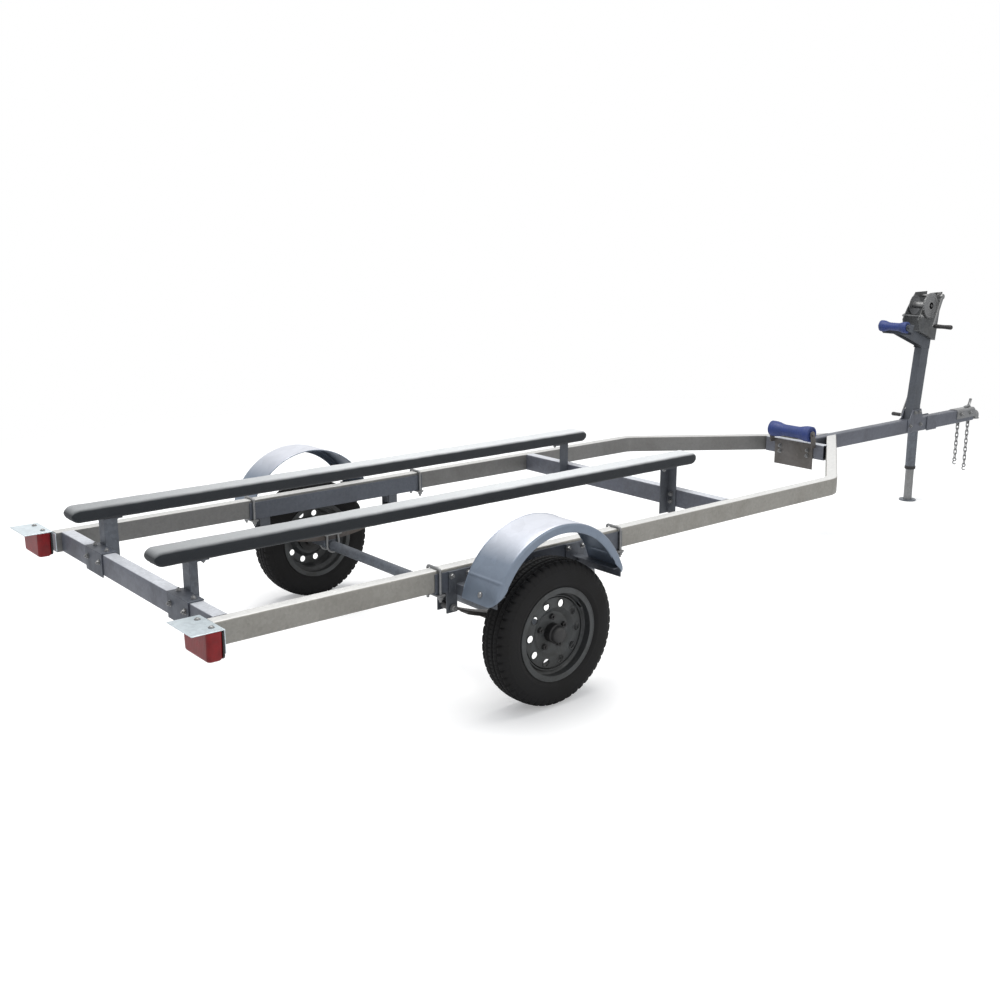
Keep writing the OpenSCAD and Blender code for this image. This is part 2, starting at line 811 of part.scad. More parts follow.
// angle irons behind both tails of each fender
module fender_arms() {
    top = fender_drop + arm_lift;
    gap = 0.3;
    reach = sqrt((fender_r - fender_t) * (fender_r - fender_t) - top * top) - gap;
    z1 = fender_z + top;
    // the feet are thick enough to bring the arms past the spring hangers
    arm_y = max(half + carrier_wall + arm_t, rail_mid + leaf_w / 2 + hanger_t + 2 * side_gap);
    color("#8e9299") both_sides() for (end = [-1, 1]) {
        x0 = end < 0 ? fender_x - reach : fender_x + reach - arm_leg;
        block([x0, arm_y, z1 - arm_t], [x0 + arm_leg, fender_y + fender_w / 2 - 10, z1]);
        xw = end < 0 ? x0 : x0 + arm_leg - arm_t;
        block([xw, arm_y, z1 - arm_leg], [xw + arm_t, fender_y + fender_w / 2 - 10, z1]);
        // foot on the carrier's side
        block([x0 - 26, half + carrier_wall, carrier_low], [x0 + arm_leg + 26, arm_y, rail_low + carrier_h]);
    }
}

// ---- wheels ----

bead_r = rim_r - 15;
flange_t = 4;
tyre_wall = 13;

module tyre() {
    half_w = tyre_w / 2;
    foot = rim_w / 2 - flange_t - 0.3;
    low = bead_r + 0.3;
    turned_y([axle_x, axle_z], wheel_y) difference() {
        polygon([[low, -foot], [rim_r + 1, -foot], [rim_r + 15, -half_w], [tyre_r - 40, -half_w],
            [tyre_r - 12, -half_w + 10], [tyre_r, -half_w + 24], [tyre_r, half_w - 24],
            [tyre_r - 12, half_w - 10], [tyre_r - 40, half_w], [rim_r + 15, half_w], [rim_r + 1, foot],
            [low, foot]]);
        // the air inside
        polygon([[low - eps, -foot + tyre_wall], [rim_r + 12, -half_w + tyre_wall],
            [tyre_r - 40, -half_w + tyre_wall], [tyre_r - tyre_wall, -half_w + 32],
            [tyre_r - tyre_wall, half_w - 32], [tyre_r - 40, half_w - tyre_wall],
            [rim_r + 12, half_w - tyre_wall], [low - eps, foot - tyre_wall]]);
    }
}

module rim() {
    w = rim_w / 2;
    bead = bead_r;
    disc_y = 18;
    turned_y([axle_x, axle_z], wheel_y) {
        // barrel with its flanges and drop centre
        polygon([[bead - 4, -w], [rim_r, -w], [rim_r, -w + flange_t], [bead, -w + flange_t], [bead, -w + 24],
            [bead - 16, -w + 34], [bead - 16, w - 34], [bead, w - 24], [bead, w - flange_t],
            [rim_r, w - flange_t],
            [rim_r, w], [bead - 4, w], [bead - 4, w - 26], [bead - 20, w - 36], [bead - 20, -w + 36],
            [bead - 4, -w + 26]]);
    }
    difference() {
        turned_y([axle_x, axle_z], wheel_y)
            polygon([[hub_r + 0.3, disc_y - 4], [76, disc_y - 4], [92, disc_y + 8], [bead - 30, disc_y + 4],
                [bead - 19, disc_y - 18], [bead - 19, disc_y - 4], [bead - 26, disc_y + 10],
                [92, disc_y + 13], [74, disc_y + 1], [hub_r + 0.3, disc_y + 1]]);
        for (n = [0 : vent_count - 1]) translate([axle_x, 0, axle_z]) rotate([0, n * 360 / vent_count, 0])
            rod_y([bead * 0.7, 0], vent_r, wheel_y, wheel_y + 60);
    }
}

module hub() {
    disc_y = 18;
    difference() {
        union() {
            rod_y([axle_x, axle_z], 62, wheel_y - 2, wheel_y + disc_y - 4.3);
            rod_y([axle_x, axle_z], 38, wheel_y - hub_in, wheel_y - 2);
            rod_y([axle_x, axle_z], hub_r, wheel_y + disc_y - 5, wheel_y + 46);
            rod_y([axle_x, axle_z], hub_r - 6, wheel_y + 46, wheel_y + 58);
        }
        rod_y([axle_x, axle_z], spindle_r + running, wheel_y - hub_in - eps, wheel_y + 26);
    }
}

module left_tyre() {
    color("#1d1e20") tyre();
}

module left_rim() {
    color("#8b9096") rim();
}

module left_hub() {
    color("#2a2c30") hub();
}

module right_tyre() {
    color("#1d1e20") mirror([0, 1, 0]) tyre();
}

module right_rim() {
    color("#8b9096") mirror([0, 1, 0]) rim();
}

module right_hub() {
    color("#2a2c30") mirror([0, 1, 0]) hub();
}

// ---- tail lights ----

light_w = 164;
light_d = 54;
light_h = 92;
sheet = 3;
// how far the middle of each light lies outside its rail's middle line
left_light_out = 88;
right_light_out = 14;

// plate over a light, and the upright plate that bolts to the rail's end
module light_bracket(out) {
    y = rail_mid + out;
    block([rail_x - lamp_overhang, y - light_w / 2, rail_top - sheet], [rail_x, y + light_w / 2, rail_top]);
    block([rail_x - sheet, min(half - tube_w, y - light_w / 2), rail_low + 2],
        [rail_x, y + light_w / 2, rail_top - sheet]);
}

module light_brackets() {
    color("#c9d3da") {
        light_bracket(left_light_out);
        mirror([0, 1, 0]) light_bracket(right_light_out);
    }
}

// a lamp body with two rounded rear corners
module light(out) {
    y = rail_mid + out;
    r = 16;
    x1 = rail_x - sheet;
    top = rail_top - sheet;
    translate([0, 0, top - light_h]) linear_extrude(light_h) {
        translate([x1 - light_d + r, y - light_w / 2]) square([light_d - r, light_w]);
        translate([x1 - light_d, y - light_w / 2 + r]) square([light_d, light_w - 2 * r]);
        for (s = [-1, 1]) translate([x1 - light_d + r, y + s * (light_w / 2 - r)]) circle(r = r, $fn = 48);
    }
}

module left_tail_light() {
    color("#a51d1f") light(left_light_out);
}

module right_tail_light() {
    color("#a51d1f") mirror([0, 1, 0]) light(right_light_out);
}

// ---- jack ----

module jack_bracket() {
    color("#8a8e94") {
        block([jack_x - 50, tongue_side, rail_low - 4], [jack_x + 50, tongue_side + bracket_t, rail_top + 4]);
        rod_y([jack_x, pivot_z], pivot_r, tongue_side + bracket_t, tongue_side + bracket_t + pivot_len);
        // backing plate on the tongue's other side
        block([jack_x - 50, -tongue_side - bracket_t, rail_low - 4], [jack_x + 50, -tongue_side, rail_top + 4]);
    }
}

module jack_tube() {
    hub_y = tongue_side + bracket_t + side_gap;
    color("#a3a8ae") difference() {
        union() {
            translate([jack_x, jack_out, jack_low]) cylinder(r = jack_r, h = jack_top - jack_low);
            rod_y([jack_x, pivot_z], pivot_r + 12, hub_y, jack_out);
            // gear head
            block([jack_x - 24, jack_out - 24, jack_top - 10], [jack_x + 24, jack_out + 24, jack_top + 6]);
        }
        translate([jack_x, jack_out, jack_low - eps])
            cylinder(r = leg_r + running, h = jack_top - 12 - jack_low);
        rod_y([jack_x, pivot_z], pivot_r + running, hub_y - eps, hub_y + pivot_len + side_gap);
        rod_y([jack_x, head_z], 7 + running, jack_out + leg_r - 4, jack_out + jack_r + eps);
    }
}

module jack_leg() {
    color("#b4b9be") difference() {
        translate([jack_x, jack_out, 6]) cylinder(r = leg_r, h = 440);
        translate([jack_x, jack_out, 6 - eps]) cylinder(r = leg_r - 4, h = 442);
    }
}

module jack_foot() {
    color("#8a8e94") translate([jack_x, jack_out, 0]) cylinder(r = foot_r, h = 6);
}

jack_crank_len = 160;
jack_crank_turn = 28;

module jack_handle() {
    y0 = jack_out + jack_r + 6;
    color("#2a2c30") translate([jack_x, 0, head_z]) rotate([0, jack_crank_turn, 0]) {
        rod_y([0, 0], 7, jack_out + leg_r + 2, y0 + 6);
        block([-8, y0, -jack_crank_len - 8], [8, y0 + 5, 12]);
        rod_y([0, -jack_crank_len], 12, y0 + 6, y0 + 66);
        rod_y([0, -jack_crank_len], 5, y0 + 5, y0 + 6);
    }
}

left_rail();
right_rail();
rear_crossmember();
middle_crossmember();
front_crossmember();
tongue();
coupler();
coupler_latch();
safety_chains();
winch_post();
post_base();
bow_arm();
bow_bracket();
bow_roller();
winch_frame();
winch_drum();
winch_handle();
keel_bracket();
keel_roller();
left_bunk();
right_bunk();
rear_bunk_posts();
front_bunk_posts();
bunk_brackets();
axle();
left_leaf_spring();
right_leaf_spring();
spring_hangers();
axle_ties();
left_axle_carrier();
right_axle_carrier();
carrier_bolts();
left_fender();
right_fender();
fender_arms();
left_tyre();
left_rim();
left_hub();
right_tyre();
right_rim();
right_hub();
light_brackets();
left_tail_light();
right_tail_light();
jack_bracket();
jack_tube();
jack_leg();
jack_foot();
jack_handle();
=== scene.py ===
import math

import bmesh
import bpy
import numpy as np
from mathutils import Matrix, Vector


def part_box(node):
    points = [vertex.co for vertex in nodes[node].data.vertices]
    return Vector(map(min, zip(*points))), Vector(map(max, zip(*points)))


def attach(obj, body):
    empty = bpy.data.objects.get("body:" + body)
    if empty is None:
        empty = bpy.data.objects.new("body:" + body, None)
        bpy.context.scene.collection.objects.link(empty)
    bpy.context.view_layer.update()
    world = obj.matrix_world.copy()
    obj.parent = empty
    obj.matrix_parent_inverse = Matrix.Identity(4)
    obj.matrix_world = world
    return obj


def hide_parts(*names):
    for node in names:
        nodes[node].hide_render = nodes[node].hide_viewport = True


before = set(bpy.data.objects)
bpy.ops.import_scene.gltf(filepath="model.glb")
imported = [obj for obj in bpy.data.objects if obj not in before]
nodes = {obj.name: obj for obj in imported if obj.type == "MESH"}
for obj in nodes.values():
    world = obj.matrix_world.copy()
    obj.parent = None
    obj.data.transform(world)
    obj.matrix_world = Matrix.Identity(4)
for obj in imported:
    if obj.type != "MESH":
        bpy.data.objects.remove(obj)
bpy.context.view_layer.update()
scene = bpy.context.scene

# where the camera stands, in the trailer's own frame
cameraSet = {"place": (-4.081, -3.700, 1.6755), "azimuth": 50.47, "pitch": -13.63, "lens": 42.86}


def makeCamera():
    data = bpy.data.cameras.new("trailerCamera")
    data.lens, data.sensor_width, data.clip_end = cameraSet["lens"], 36.0, 200.0
    cam = bpy.data.objects.new("trailerCamera", data)
    cam.location = cameraSet["place"]
    cam.rotation_euler = (math.radians(90 + cameraSet["pitch"]), 0, math.radians(cameraSet["azimuth"] - 90))
    scene.collection.objects.link(cam)
    scene.camera = cam


makeCamera()
print("camera set")


# materials: small helpers that wire nodes together

def blankFinish(name, colour, rough, metal=0.0):
    mat = bpy.data.materials.new(name)
    mat.use_nodes = True
    tree = mat.node_tree
    shader = tree.nodes["Principled BSDF"]
    shader.inputs["Base Color"].default_value = (*colour, 1)
    shader.inputs["Roughness"].default_value = rough
    shader.inputs["Metallic"].default_value = metal
    mat.diffuse_color = (*colour, 1)
    return mat, tree, shader


def objectSpace(tree, stretch=(1, 1, 1)):
    co = tree.nodes.new("ShaderNodeTexCoord")
    if stretch == (1, 1, 1):
        return co.outputs["Object"]
    place = tree.nodes.new("ShaderNodeMapping")
    place.inputs["Scale"].default_value = stretch
    tree.links.new(co.outputs["Object"], place.inputs["Vector"])
    return place.outputs["Vector"]


def noise(tree, co, scale, detail=5.0, rough=0.6, warp=0.0):
    node = tree.nodes.new("ShaderNodeTexNoise")
    node.inputs["Scale"].default_value = scale
    node.inputs["Detail"].default_value = detail
    node.inputs["Roughness"].default_value = rough
    node.inputs["Distortion"].default_value = warp
    tree.links.new(co, node.inputs["Vector"])
    return node.outputs["Fac"]


def cells(tree, co, scale):
    node = tree.nodes.new("ShaderNodeTexVoronoi")
    node.inputs["Scale"].default_value = scale
    tree.links.new(co, node.inputs["Vector"])
    return node


def ramp(tree, value, low, high, dark=0.0, light=1.0):
    # dark below low and light above high, straight in between
    node = tree.nodes.new("ShaderNodeMapRange")
    node.inputs["From Min"].default_value = low
    node.inputs["From Max"].default_value = high
    node.inputs["To Min"].default_value = dark
    node.inputs["To Max"].default_value = light
    tree.links.new(value, node.inputs["Value"])
    return node.outputs["Result"]


def plug(tree, socket, value):
    if isinstance(value, tuple):
        socket.default_value = (*value, 1) if len(value) == 3 else value
    elif isinstance(value, (int, float)):
        socket.default_value = value
    else:
        tree.links.new(value, socket)


# the mix node has several sockets called A, B and Result: these pick the colour ones
def mixed(tree, share, first, second):
    node = tree.nodes.new("ShaderNodeMix")
    node.data_type = "RGBA"
    plug(tree, node.inputs[0], share)
    plug(tree, node.inputs[6], first)
    plug(tree, node.inputs[7], second)
    return node.outputs[2]


def combined(tree, how, first, second):
    node = tree.nodes.new("ShaderNodeMath")
    node.operation = how
    plug(tree, node.inputs[0], first)
    plug(tree, node.inputs[1], second)
    return node.outputs[0]


def axisOf(tree, vector, letter):
    # one of a vector's three values
    split = tree.nodes.new("ShaderNodeSeparateXYZ")
    tree.links.new(vector, split.inputs[0])
    return split.outputs[letter]


def facingUp(tree):
    return axisOf(tree, tree.nodes.new("ShaderNodeNewGeometry").outputs["Normal"], "Z")


def bumps(tree, shader, layers):
    # layers of (height, strength, depth in metres), each laid over the one before
    last = None
    for height, strength, depth in layers:
        node = tree.nodes.new("ShaderNodeBump")
        node.inputs["Strength"].default_value = strength
        node.inputs["Distance"].default_value = depth
        tree.links.new(height, node.inputs["Height"])
        if last:
            tree.links.new(last, node.inputs["Normal"])
        last = node.outputs["Normal"]
    tree.links.new(last, shader.inputs["Normal"])


# hot-dip zinc: flake-like spangle, cloudy stains, rain streaks, a faintly lumpy coat and, where a crown colour is
# given, painted sunlight on upward faces
def zincFinish(name, colour, stain, rough=0.5, metal=0.4, spangle=55.0, stained=0.5, contrast=0.16,
               crown=None):
    mat, tree, shader = blankFinish(name, colour, rough, metal)
    co = objectSpace(tree)
    flake = cells(tree, co, spangle)
    grey = tree.nodes.new("ShaderNodeRGBToBW")
    tree.links.new(flake.outputs["Color"], grey.inputs[0])
    tone = ramp(tree, grey.outputs[0], 0.1, 0.9, 1 - contrast, 1 + contrast)
    cloud = ramp(tree, noise(tree, co, 4.5, 7, 0.65, 0.6), 0.42, 0.68, 0, stained)
    streak = ramp(tree, noise(tree, objectSpace(tree, (34, 34, 3)), 1.0, 5, 0.6), 0.5, 0.75, 0, 0.45 * stained)
    speck = ramp(tree, noise(tree, co, 120, 3, 0.7), 0.6, 0.72, 0, 0.35)
    dark = tuple(c * 0.62 for c in colour)
    tint = mixed(tree, cloud, colour, stain)
    tint = mixed(tree, streak, tint, stain)
    tint = mixed(tree, speck, tint, dark)
    if crown:
        # paler where the sheet faces up: painted sunlight on the tops
        tint = mixed(tree, ramp(tree, facingUp(tree), 0.66, 0.95), tint, crown)
    toned = tree.nodes.new("ShaderNodeVectorMath")
    toned.operation = "SCALE"
    tree.links.new(tint, toned.inputs[0])
    tree.links.new(tone, toned.inputs["Scale"])
    tree.links.new(toned.outputs[0], shader.inputs["Base Color"])
    tree.links.new(ramp(tree, cloud, 0, 0.5, rough - 0.08, rough + 0.14), shader.inputs["Roughness"])
    lumps = noise(tree, co, 38, 4, 0.55)
    bumps(tree, shader, [(lumps, 0.35, 0.0009), (grey.outputs[0], 0.12, 0.0003)])
    return mat


# the near rail's crown colour is painted sunlight on its tops; the far rail's zinc is a darker copy of it that stands
# for painted shade, with dimmer painted sunlight on its tops
railZinc = zincFinish("railZinc", (0.27, 0.262, 0.24), (0.21, 0.202, 0.182), 0.55, 0.3, 110.0, 0.5, 0.06,
                      (0.60, 0.60, 0.59))
shadedFarRailZinc = zincFinish("shadedFarRailZinc", (0.165, 0.165, 0.162), (0.13, 0.128, 0.122), 0.55, 0.3, 110.0, 0.5,
                         0.06, (0.50, 0.50, 0.49))
# darker bluish copies of the zinc that stand for painted shade on the carriers, bunk brackets, crossmembers, tongue
# and winch post; the crossmembers' crown colour is painted sunlight on their tops
shadedSleeveZinc = zincFinish("shadedSleeveZinc", (0.085, 0.096, 0.118), (0.065, 0.068, 0.078), 0.5, 0.35, 110.0, 0.5, 0.08)
shadedMemberZinc = zincFinish("shadedMemberZinc", (0.125, 0.135, 0.165), (0.105, 0.105, 0.112), 0.5, 0.35, 100.0, 0.5, 0.09,
                        (0.52, 0.54, 0.58))
shadedTongueZinc = zincFinish("shadedTongueZinc", (0.115, 0.124, 0.150), (0.085, 0.087, 0.098), 0.5, 0.35, 100.0, 0.5, 0.08)
shadedPostZinc = zincFinish("shadedPostZinc", (0.080, 0.089, 0.106), (0.060, 0.064, 0.070), 0.5, 0.35, 100.0, 0.5, 0.08)
bracketZinc = zincFinish("bracketZinc", (0.125, 0.140, 0.165), (0.085, 0.088, 0.090), 0.5, 0.35, 90.0, 0.6, 0.12)
winchZinc = zincFinish("winchZinc", (0.095, 0.100, 0.105), (0.065, 0.064, 0.058), 0.45, 0.35, 90.0, 0.6, 0.12)
keelZinc = zincFinish("keelZinc", (0.13, 0.122, 0.118), (0.085, 0.076, 0.066), 0.5, 0.3, 80.0, 0.8, 0.1)
# the fender's bluish tone is painted shade on its sides, and its crown colour is a painted highlight along its top
shadedFenderZinc = zincFinish("shadedFenderZinc", (0.185, 0.225, 0.285), (0.155, 0.185, 0.235), 0.38, 0.45, 30.0, 0.35, 0.05,
                        (0.58, 0.60, 0.66))
plateZinc = zincFinish("plateZinc", (0.62, 0.70, 0.74), (0.44, 0.47, 0.50), 0.36, 0.5, 80.0, 0.3, 0.08)
brightZinc = zincFinish("brightZinc", (0.24, 0.245, 0.25), (0.15, 0.145, 0.135), 0.38, 0.6, 160.0, 0.4, 0.1)
springSteel = zincFinish("springSteel", (0.10, 0.10, 0.104), (0.075, 0.055, 0.04), 0.55, 0.35, 90.0, 0.8, 0.12)


# moulded tyre rubber with road dust in its hollows
def rubberFinish():
    mat, tree, shader = blankFinish("tyreRubber", (0.007, 0.007, 0.0075), 0.85)
    shader.inputs["Specular IOR Level"].default_value = 0.2
    co = objectSpace(tree)
    dust = ramp(tree, noise(tree, co, 7, 6, 0.65, 0.4), 0.45, 0.75, 0, 0.4)
    tint = mixed(tree, dust, (0.007, 0.007, 0.0075), (0.018, 0.017, 0.015))
    tree.links.new(tint, shader.inputs["Base Color"])
    tree.links.new(ramp(tree, dust, 0, 0.5, 0.66, 0.9), shader.inputs["Roughness"])
    bumps(tree, shader, [(noise(tree, co, 420, 3, 0.6), 0.25, 0.0004), (noise(tree, co, 30, 3), 0.15, 0.001)])
    return mat


# stove paint or plain plastic: one colour with dust, fine orange peel and scuffs
def paintFinish(name, colour, dusty, rough, dustShare=0.35, peel=260.0, metal=0.0):
    mat, tree, shader = blankFinish(name, colour, rough, metal)
    co = objectSpace(tree)
    dust = ramp(tree, noise(tree, co, 14, 7, 0.65, 0.5), 0.42, 0.72, 0, dustShare)
    scuff = ramp(tree, noise(tree, objectSpace(tree, (18, 60, 140)), 1.0, 4, 0.7), 0.62, 0.7, 0, 0.3 * dustShare)
    tint = mixed(tree, scuff, mixed(tree, dust, colour, dusty), tuple(min(1, c * 1.7 + 0.02) for c in colour))
    tree.links.new(tint, shader.inputs["Base Color"])
    tree.links.new(ramp(tree, dust, 0, 0.35, rough, min(0.95, rough + 0.22)), shader.inputs["Roughness"])
    bumps(tree, shader, [(noise(tree, co, peel, 3, 0.5), 0.18, 0.0004)])
    return mat


tyreRubber = rubberFinish()
rimPaint = paintFinish("rimPaint", (0.050, 0.054, 0.056), (0.040, 0.037, 0.032), 0.48, 0.5, metal=0.3)
hubPaint = paintFinish("hubPaint", (0.010, 0.010, 0.011), (0.028, 0.026, 0.023), 0.5, 0.4)
rollerBlue = paintFinish("rollerBlue", (0.010, 0.030, 0.16), (0.026, 0.042, 0.09), 0.45, 0.5, 180.0)
gripBlack = paintFinish("gripBlack", (0.013, 0.013, 0.014), (0.04, 0.038, 0.035), 0.5, 0.35)
lampBlack = paintFinish("lampBlack", (0.012, 0.010, 0.010), (0.04, 0.03, 0.03), 0.4, 0.3)


# red lens: clear gloss over ribs, darker towards its depths
def lensFinish():
    mat, tree, shader = blankFinish("lensRed", (0.19, 0.010, 0.013), 0.42)
    shader.inputs["Coat Weight"].default_value = 0.06
    shader.inputs["Specular IOR Level"].default_value = 0.3
    co = objectSpace(tree)
    depth = ramp(tree, noise(tree, co, 26, 3), 0.35, 0.7, 0, 0.7)
    tint = mixed(tree, depth, (0.235, 0.006, 0.009), (0.13, 0.003, 0.005))
    dust = ramp(tree, noise(tree, co, 60, 6, 0.7), 0.55, 0.8, 0, 0.12)
    tree.links.new(mixed(tree, dust, tint, (0.20, 0.09, 0.08)), shader.inputs["Base Color"])
    prisms = cells(tree, co, 260)
    bumps(tree, shader, [(prisms.outputs["Distance"], 0.25, 0.0006)])
    return mat


# bunk carpet: short matted pile over a board, with painted sunlight where it faces up
def carpetFinish():
    mat, tree, shader = blankFinish("bunkCarpet", (0.05, 0.06, 0.075), 0.95)
    shader.inputs["Sheen Weight"].default_value = 0.12
    shader.inputs["Sheen Roughness"].default_value = 0.6
    co = objectSpace(tree)
    pile = noise(tree, co, 620, 4, 0.75)
    tuft = noise(tree, objectSpace(tree, (90, 260, 260)), 1.0, 5, 0.7)
    patch = ramp(tree, noise(tree, co, 5, 6, 0.6), 0.4, 0.7, 0, 0.5)
    base = mixed(tree, patch, (0.013, 0.017, 0.022), (0.022, 0.026, 0.030))
    base = mixed(tree, ramp(tree, pile, 0.35, 0.65, 0, 0.5), base, (0.008, 0.010, 0.013))
    # lighter where the pile faces up: painted sunlight on the tops
    upward = ramp(tree, facingUp(tree), 0.3, 0.95, 0, 0.9)
    sunlitTopColour = mixed(tree, ramp(tree, tuft, 0.3, 0.7, 0.0, 0.6), (0.72, 0.74, 0.75), (0.52, 0.54, 0.56))
    # the painted sunlight is stronger towards the front
    sunlitShare = combined(tree, "MULTIPLY", upward, ramp(tree, axisOf(tree, co, "X"), -2.7, -1.3, 0.45, 1.0))
    tree.links.new(mixed(tree, sunlitShare, base, sunlitTopColour), shader.inputs["Base Color"])
    bumps(tree, shader, [(tuft, 0.5, 0.0012), (pile, 0.6, 0.0009)])
    return mat


lensRed = lensFinish()
bunkCarpet = carpetFinish()
print("finishes made")


# meshes: points and faces are worked out as whole arrays and merged into pieces

def gridFaces(rows, cols, closeRows=False, closeCols=False):
    # quads over points numbered row by row; a closed way joins its last line to its first
    i = np.arange(rows if closeRows else rows - 1)[:, None]
    j = np.arange(cols if closeCols else cols - 1)[None, :]
    nextRow, nextCol = (i + 1) % rows, (j + 1) % cols
    return np.stack(np.broadcast_arrays(i * cols + j, i * cols + nextCol, nextRow * cols + nextCol,
                                        nextRow * cols + j), -1).reshape(-1, 4)


def skinFaces(rows, cols, closed=False):
    # rings one after another: the last joined to the first, or a flat face at each end
    faces = gridFaces(rows, cols, closed, True).tolist()
    if not closed:
        faces += [list(range(cols)), list(range((rows - 1) * cols, rows * cols))]
    return faces


def joined(parts):
    # several (points, faces) as one, each part's faces counted on from the points before it
    points, faces, start = [], [], 0
    for pts, fcs in parts:
        points.append(np.asarray(pts, float))
        faces += [[int(k) + start for k in f] for f in fcs]
        start += len(pts)
    return np.concatenate(points), faces


def roundEdges(piece, width, sharpest):
    edge = piece.modifiers.new("roundedEdges", "BEVEL")
    edge.width, edge.segments, edge.limit_method = width, 2, "ANGLE"
    edge.angle_limit = math.radians(sharpest)


def newPiece(name, shape, mat, body, smooth=40, bevel=0.0, replaces=()):
    points, faces = shape
    mesh = bpy.data.meshes.new(name)
    mesh.from_pydata(np.asarray(points, float).tolist(), [], [list(map(int, f)) for f in faces])
    work = bmesh.new()
    work.from_mesh(mesh)
    bmesh.ops.remove_doubles(work, verts=work.verts, dist=1e-6)
    bmesh.ops.recalc_face_normals(work, faces=work.faces)
    work.to_mesh(mesh)
    work.free()
    mesh.polygons.foreach_set("use_smooth", np.ones(len(mesh.polygons), bool))
    mesh.set_sharp_from_angle(angle=math.radians(smooth))
    mesh.materials.append(mat)
    piece = bpy.data.objects.new(name, mesh)
    scene.collection.objects.link(piece)
    if bevel:
        roundEdges(piece, bevel, 40)
    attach(piece, body)
    if replaces:
        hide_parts(*replaces)
    return piece


def roundedBox(width, height, radius, steps=5):
    # loop of a rectangle whose corners are quarter circles, anticlockwise from the right
    turn = np.linspace(0, math.pi / 2, steps)
    corners = [(1, 1, 0), (-1, 1, 1), (-1, -1, 2), (1, -1, 3)]
    loop = [np.stack([sx * (width / 2 - radius) + radius * np.cos(turn + q * math.pi / 2),
                      sy * (height / 2 - radius) + radius * np.sin(turn + q * math.pi / 2)], 1)
            for sx, sy, q in corners]
    return np.concatenate(loop)


def circleLoop(radius, count=16):
    turn = np.linspace(0, 2 * math.pi, count, endpoint=False)
    return np.stack([radius * np.cos(turn), radius * np.sin(turn)], 1)


def ringLine(radius, mid, count):
    # an upright circle, square to the axle
    loop = circleLoop(radius, count)
    return np.stack([loop[:, 0], np.zeros(count), loop[:, 1]], 1) + mid


def carried(path, loop, up=(0, 0, 1)):
    # every point of the loop (side, height) at every point of the path, square to its run there
    path = np.asarray(path, float)
    run = np.gradient(path, axis=0)
    run /= np.linalg.norm(run, axis=1)[:, None]
    side = np.cross(run, np.broadcast_to(up, run.shape))
    side /= np.linalg.norm(side, axis=1)[:, None]
    height = np.cross(side, run)
    return path[:, None] + loop[None, :, :1] * side[:, None] + loop[None, :, 1:] * height[:, None]


def rodAlong(path, loop, up=(0, 0, 1), closed=False):
    # a solid bar along a path: closed into a ring, or with flat ends
    if closed:
        path = np.asarray(path, float)
        rings = carried(np.concatenate([path[-1:], path, path[:1]]), loop, up)[1:-1]
    else:
        rings = carried(path, loop, up)
    return rings.reshape(-1, 3), skinFaces(*rings.shape[:2], closed)


def tubeAlong(path, width, height, wall, radius, cutFirst=None, cutLast=None, up=(0, 0, 1)):
    # a hollow tube: its outside out along the path and its inside back, ends joined by the wall.
    # a cut is (axis, value): end points slide along the tube onto that plane
    skins = []
    for inset in (0, wall):
        loop = roundedBox(width - 2 * inset, height - 2 * inset, max(radius - inset, 0.0008))
        rings = carried(path, loop, up)
        for cut, end, near in ((cutFirst, 0, 1), (cutLast, -1, -2)):
            if cut:
                run = np.asarray(path[end], float) - np.asarray(path[near], float)
                slide = (cut[1] - rings[end][:, cut[0]]) / run[cut[0]]
                rings[end] += slide[:, None] * run
        skins.append(rings)
    rings = np.concatenate([skins[0], skins[1][::-1]])
    return rings.reshape(-1, 3), gridFaces(*rings.shape[:2], True, True)


def turned(profile, at, axis="y", count=64, closed=True, shape=None):
    # radius and distance along the axis for each row, turned in count steps round it.
    # shape, a function of angle and row, gives what is added to the radius there
    profile = np.asarray(profile, float)
    turn = np.linspace(0, 2 * math.pi, count, endpoint=False)
    radius = np.repeat(profile[:, :1], count, 1)
    if shape is not None:
        radius = radius + shape(turn[None, :], profile[:, :1], profile[:, 1:])
    along = np.repeat(profile[:, 1:], count, 1)
    a, b = radius * np.cos(turn), radius * np.sin(turn)
    order = {"x": (along, a, b), "y": (a, along, b), "z": (a, b, along)}[axis]
    points = np.stack(order, -1).reshape(-1, 3) + np.asarray(at, float)
    return points, skinFaces(len(profile), count, closed)


def smoothLoop(points, rounds=2, closed=True):
    # corner cutting: each edge gives way to its points at a quarter and at three quarters
    p = np.asarray(points, float)
    for _ in range(rounds):
        q = np.roll(p, -1, 0) if closed else p[1:]
        r = p if closed else p[:-1]
        cut = np.stack([0.75 * r + 0.25 * q, 0.25 * r + 0.75 * q], 1).reshape(-1, p.shape[1])
        p = cut if closed else np.concatenate([p[:1], cut, p[-1:]])
    return p


def resampled(points, count, closed=True):
    # the same line with its points evenly spaced along it
    p = np.concatenate([points, points[:1]]) if closed else np.asarray(points)
    along = np.concatenate([[0], np.cumsum(np.linalg.norm(np.diff(p, axis=0), axis=1))])
    want = np.linspace(0, along[-1], count, endpoint=not closed)
    return np.stack([np.interp(want, along, p[:, k]) for k in range(p.shape[1])], 1)


def thickSheet(outer, inner):
    # two grids of points, one for each face of the sheet, closed all round their edge
    rows, cols = outer.shape[:2]
    base = gridFaces(rows, cols)
    count = rows * cols
    index = np.arange(count).reshape(rows, cols)
    rim = np.concatenate([index[0], index[1:, -1], index[-1, -2::-1], index[-2:0:-1, 0]])
    nextRim = np.roll(rim, -1)
    edge = np.stack([rim, nextRim, nextRim + count, rim + count], 1)
    points = np.concatenate([outer.reshape(-1, 3), inner.reshape(-1, 3)])
    return points, np.concatenate([base, base[:, ::-1] + count, edge])


def basis(axis):
    axis = np.asarray(axis, float) / np.linalg.norm(axis)
    aside = np.array([0, 0, 1.0]) if abs(axis[2]) < 0.9 else np.array([1.0, 0, 0])
    side = np.cross(aside, axis)
    side /= np.linalg.norm(side)
    return np.stack([side, np.cross(axis, side), axis])


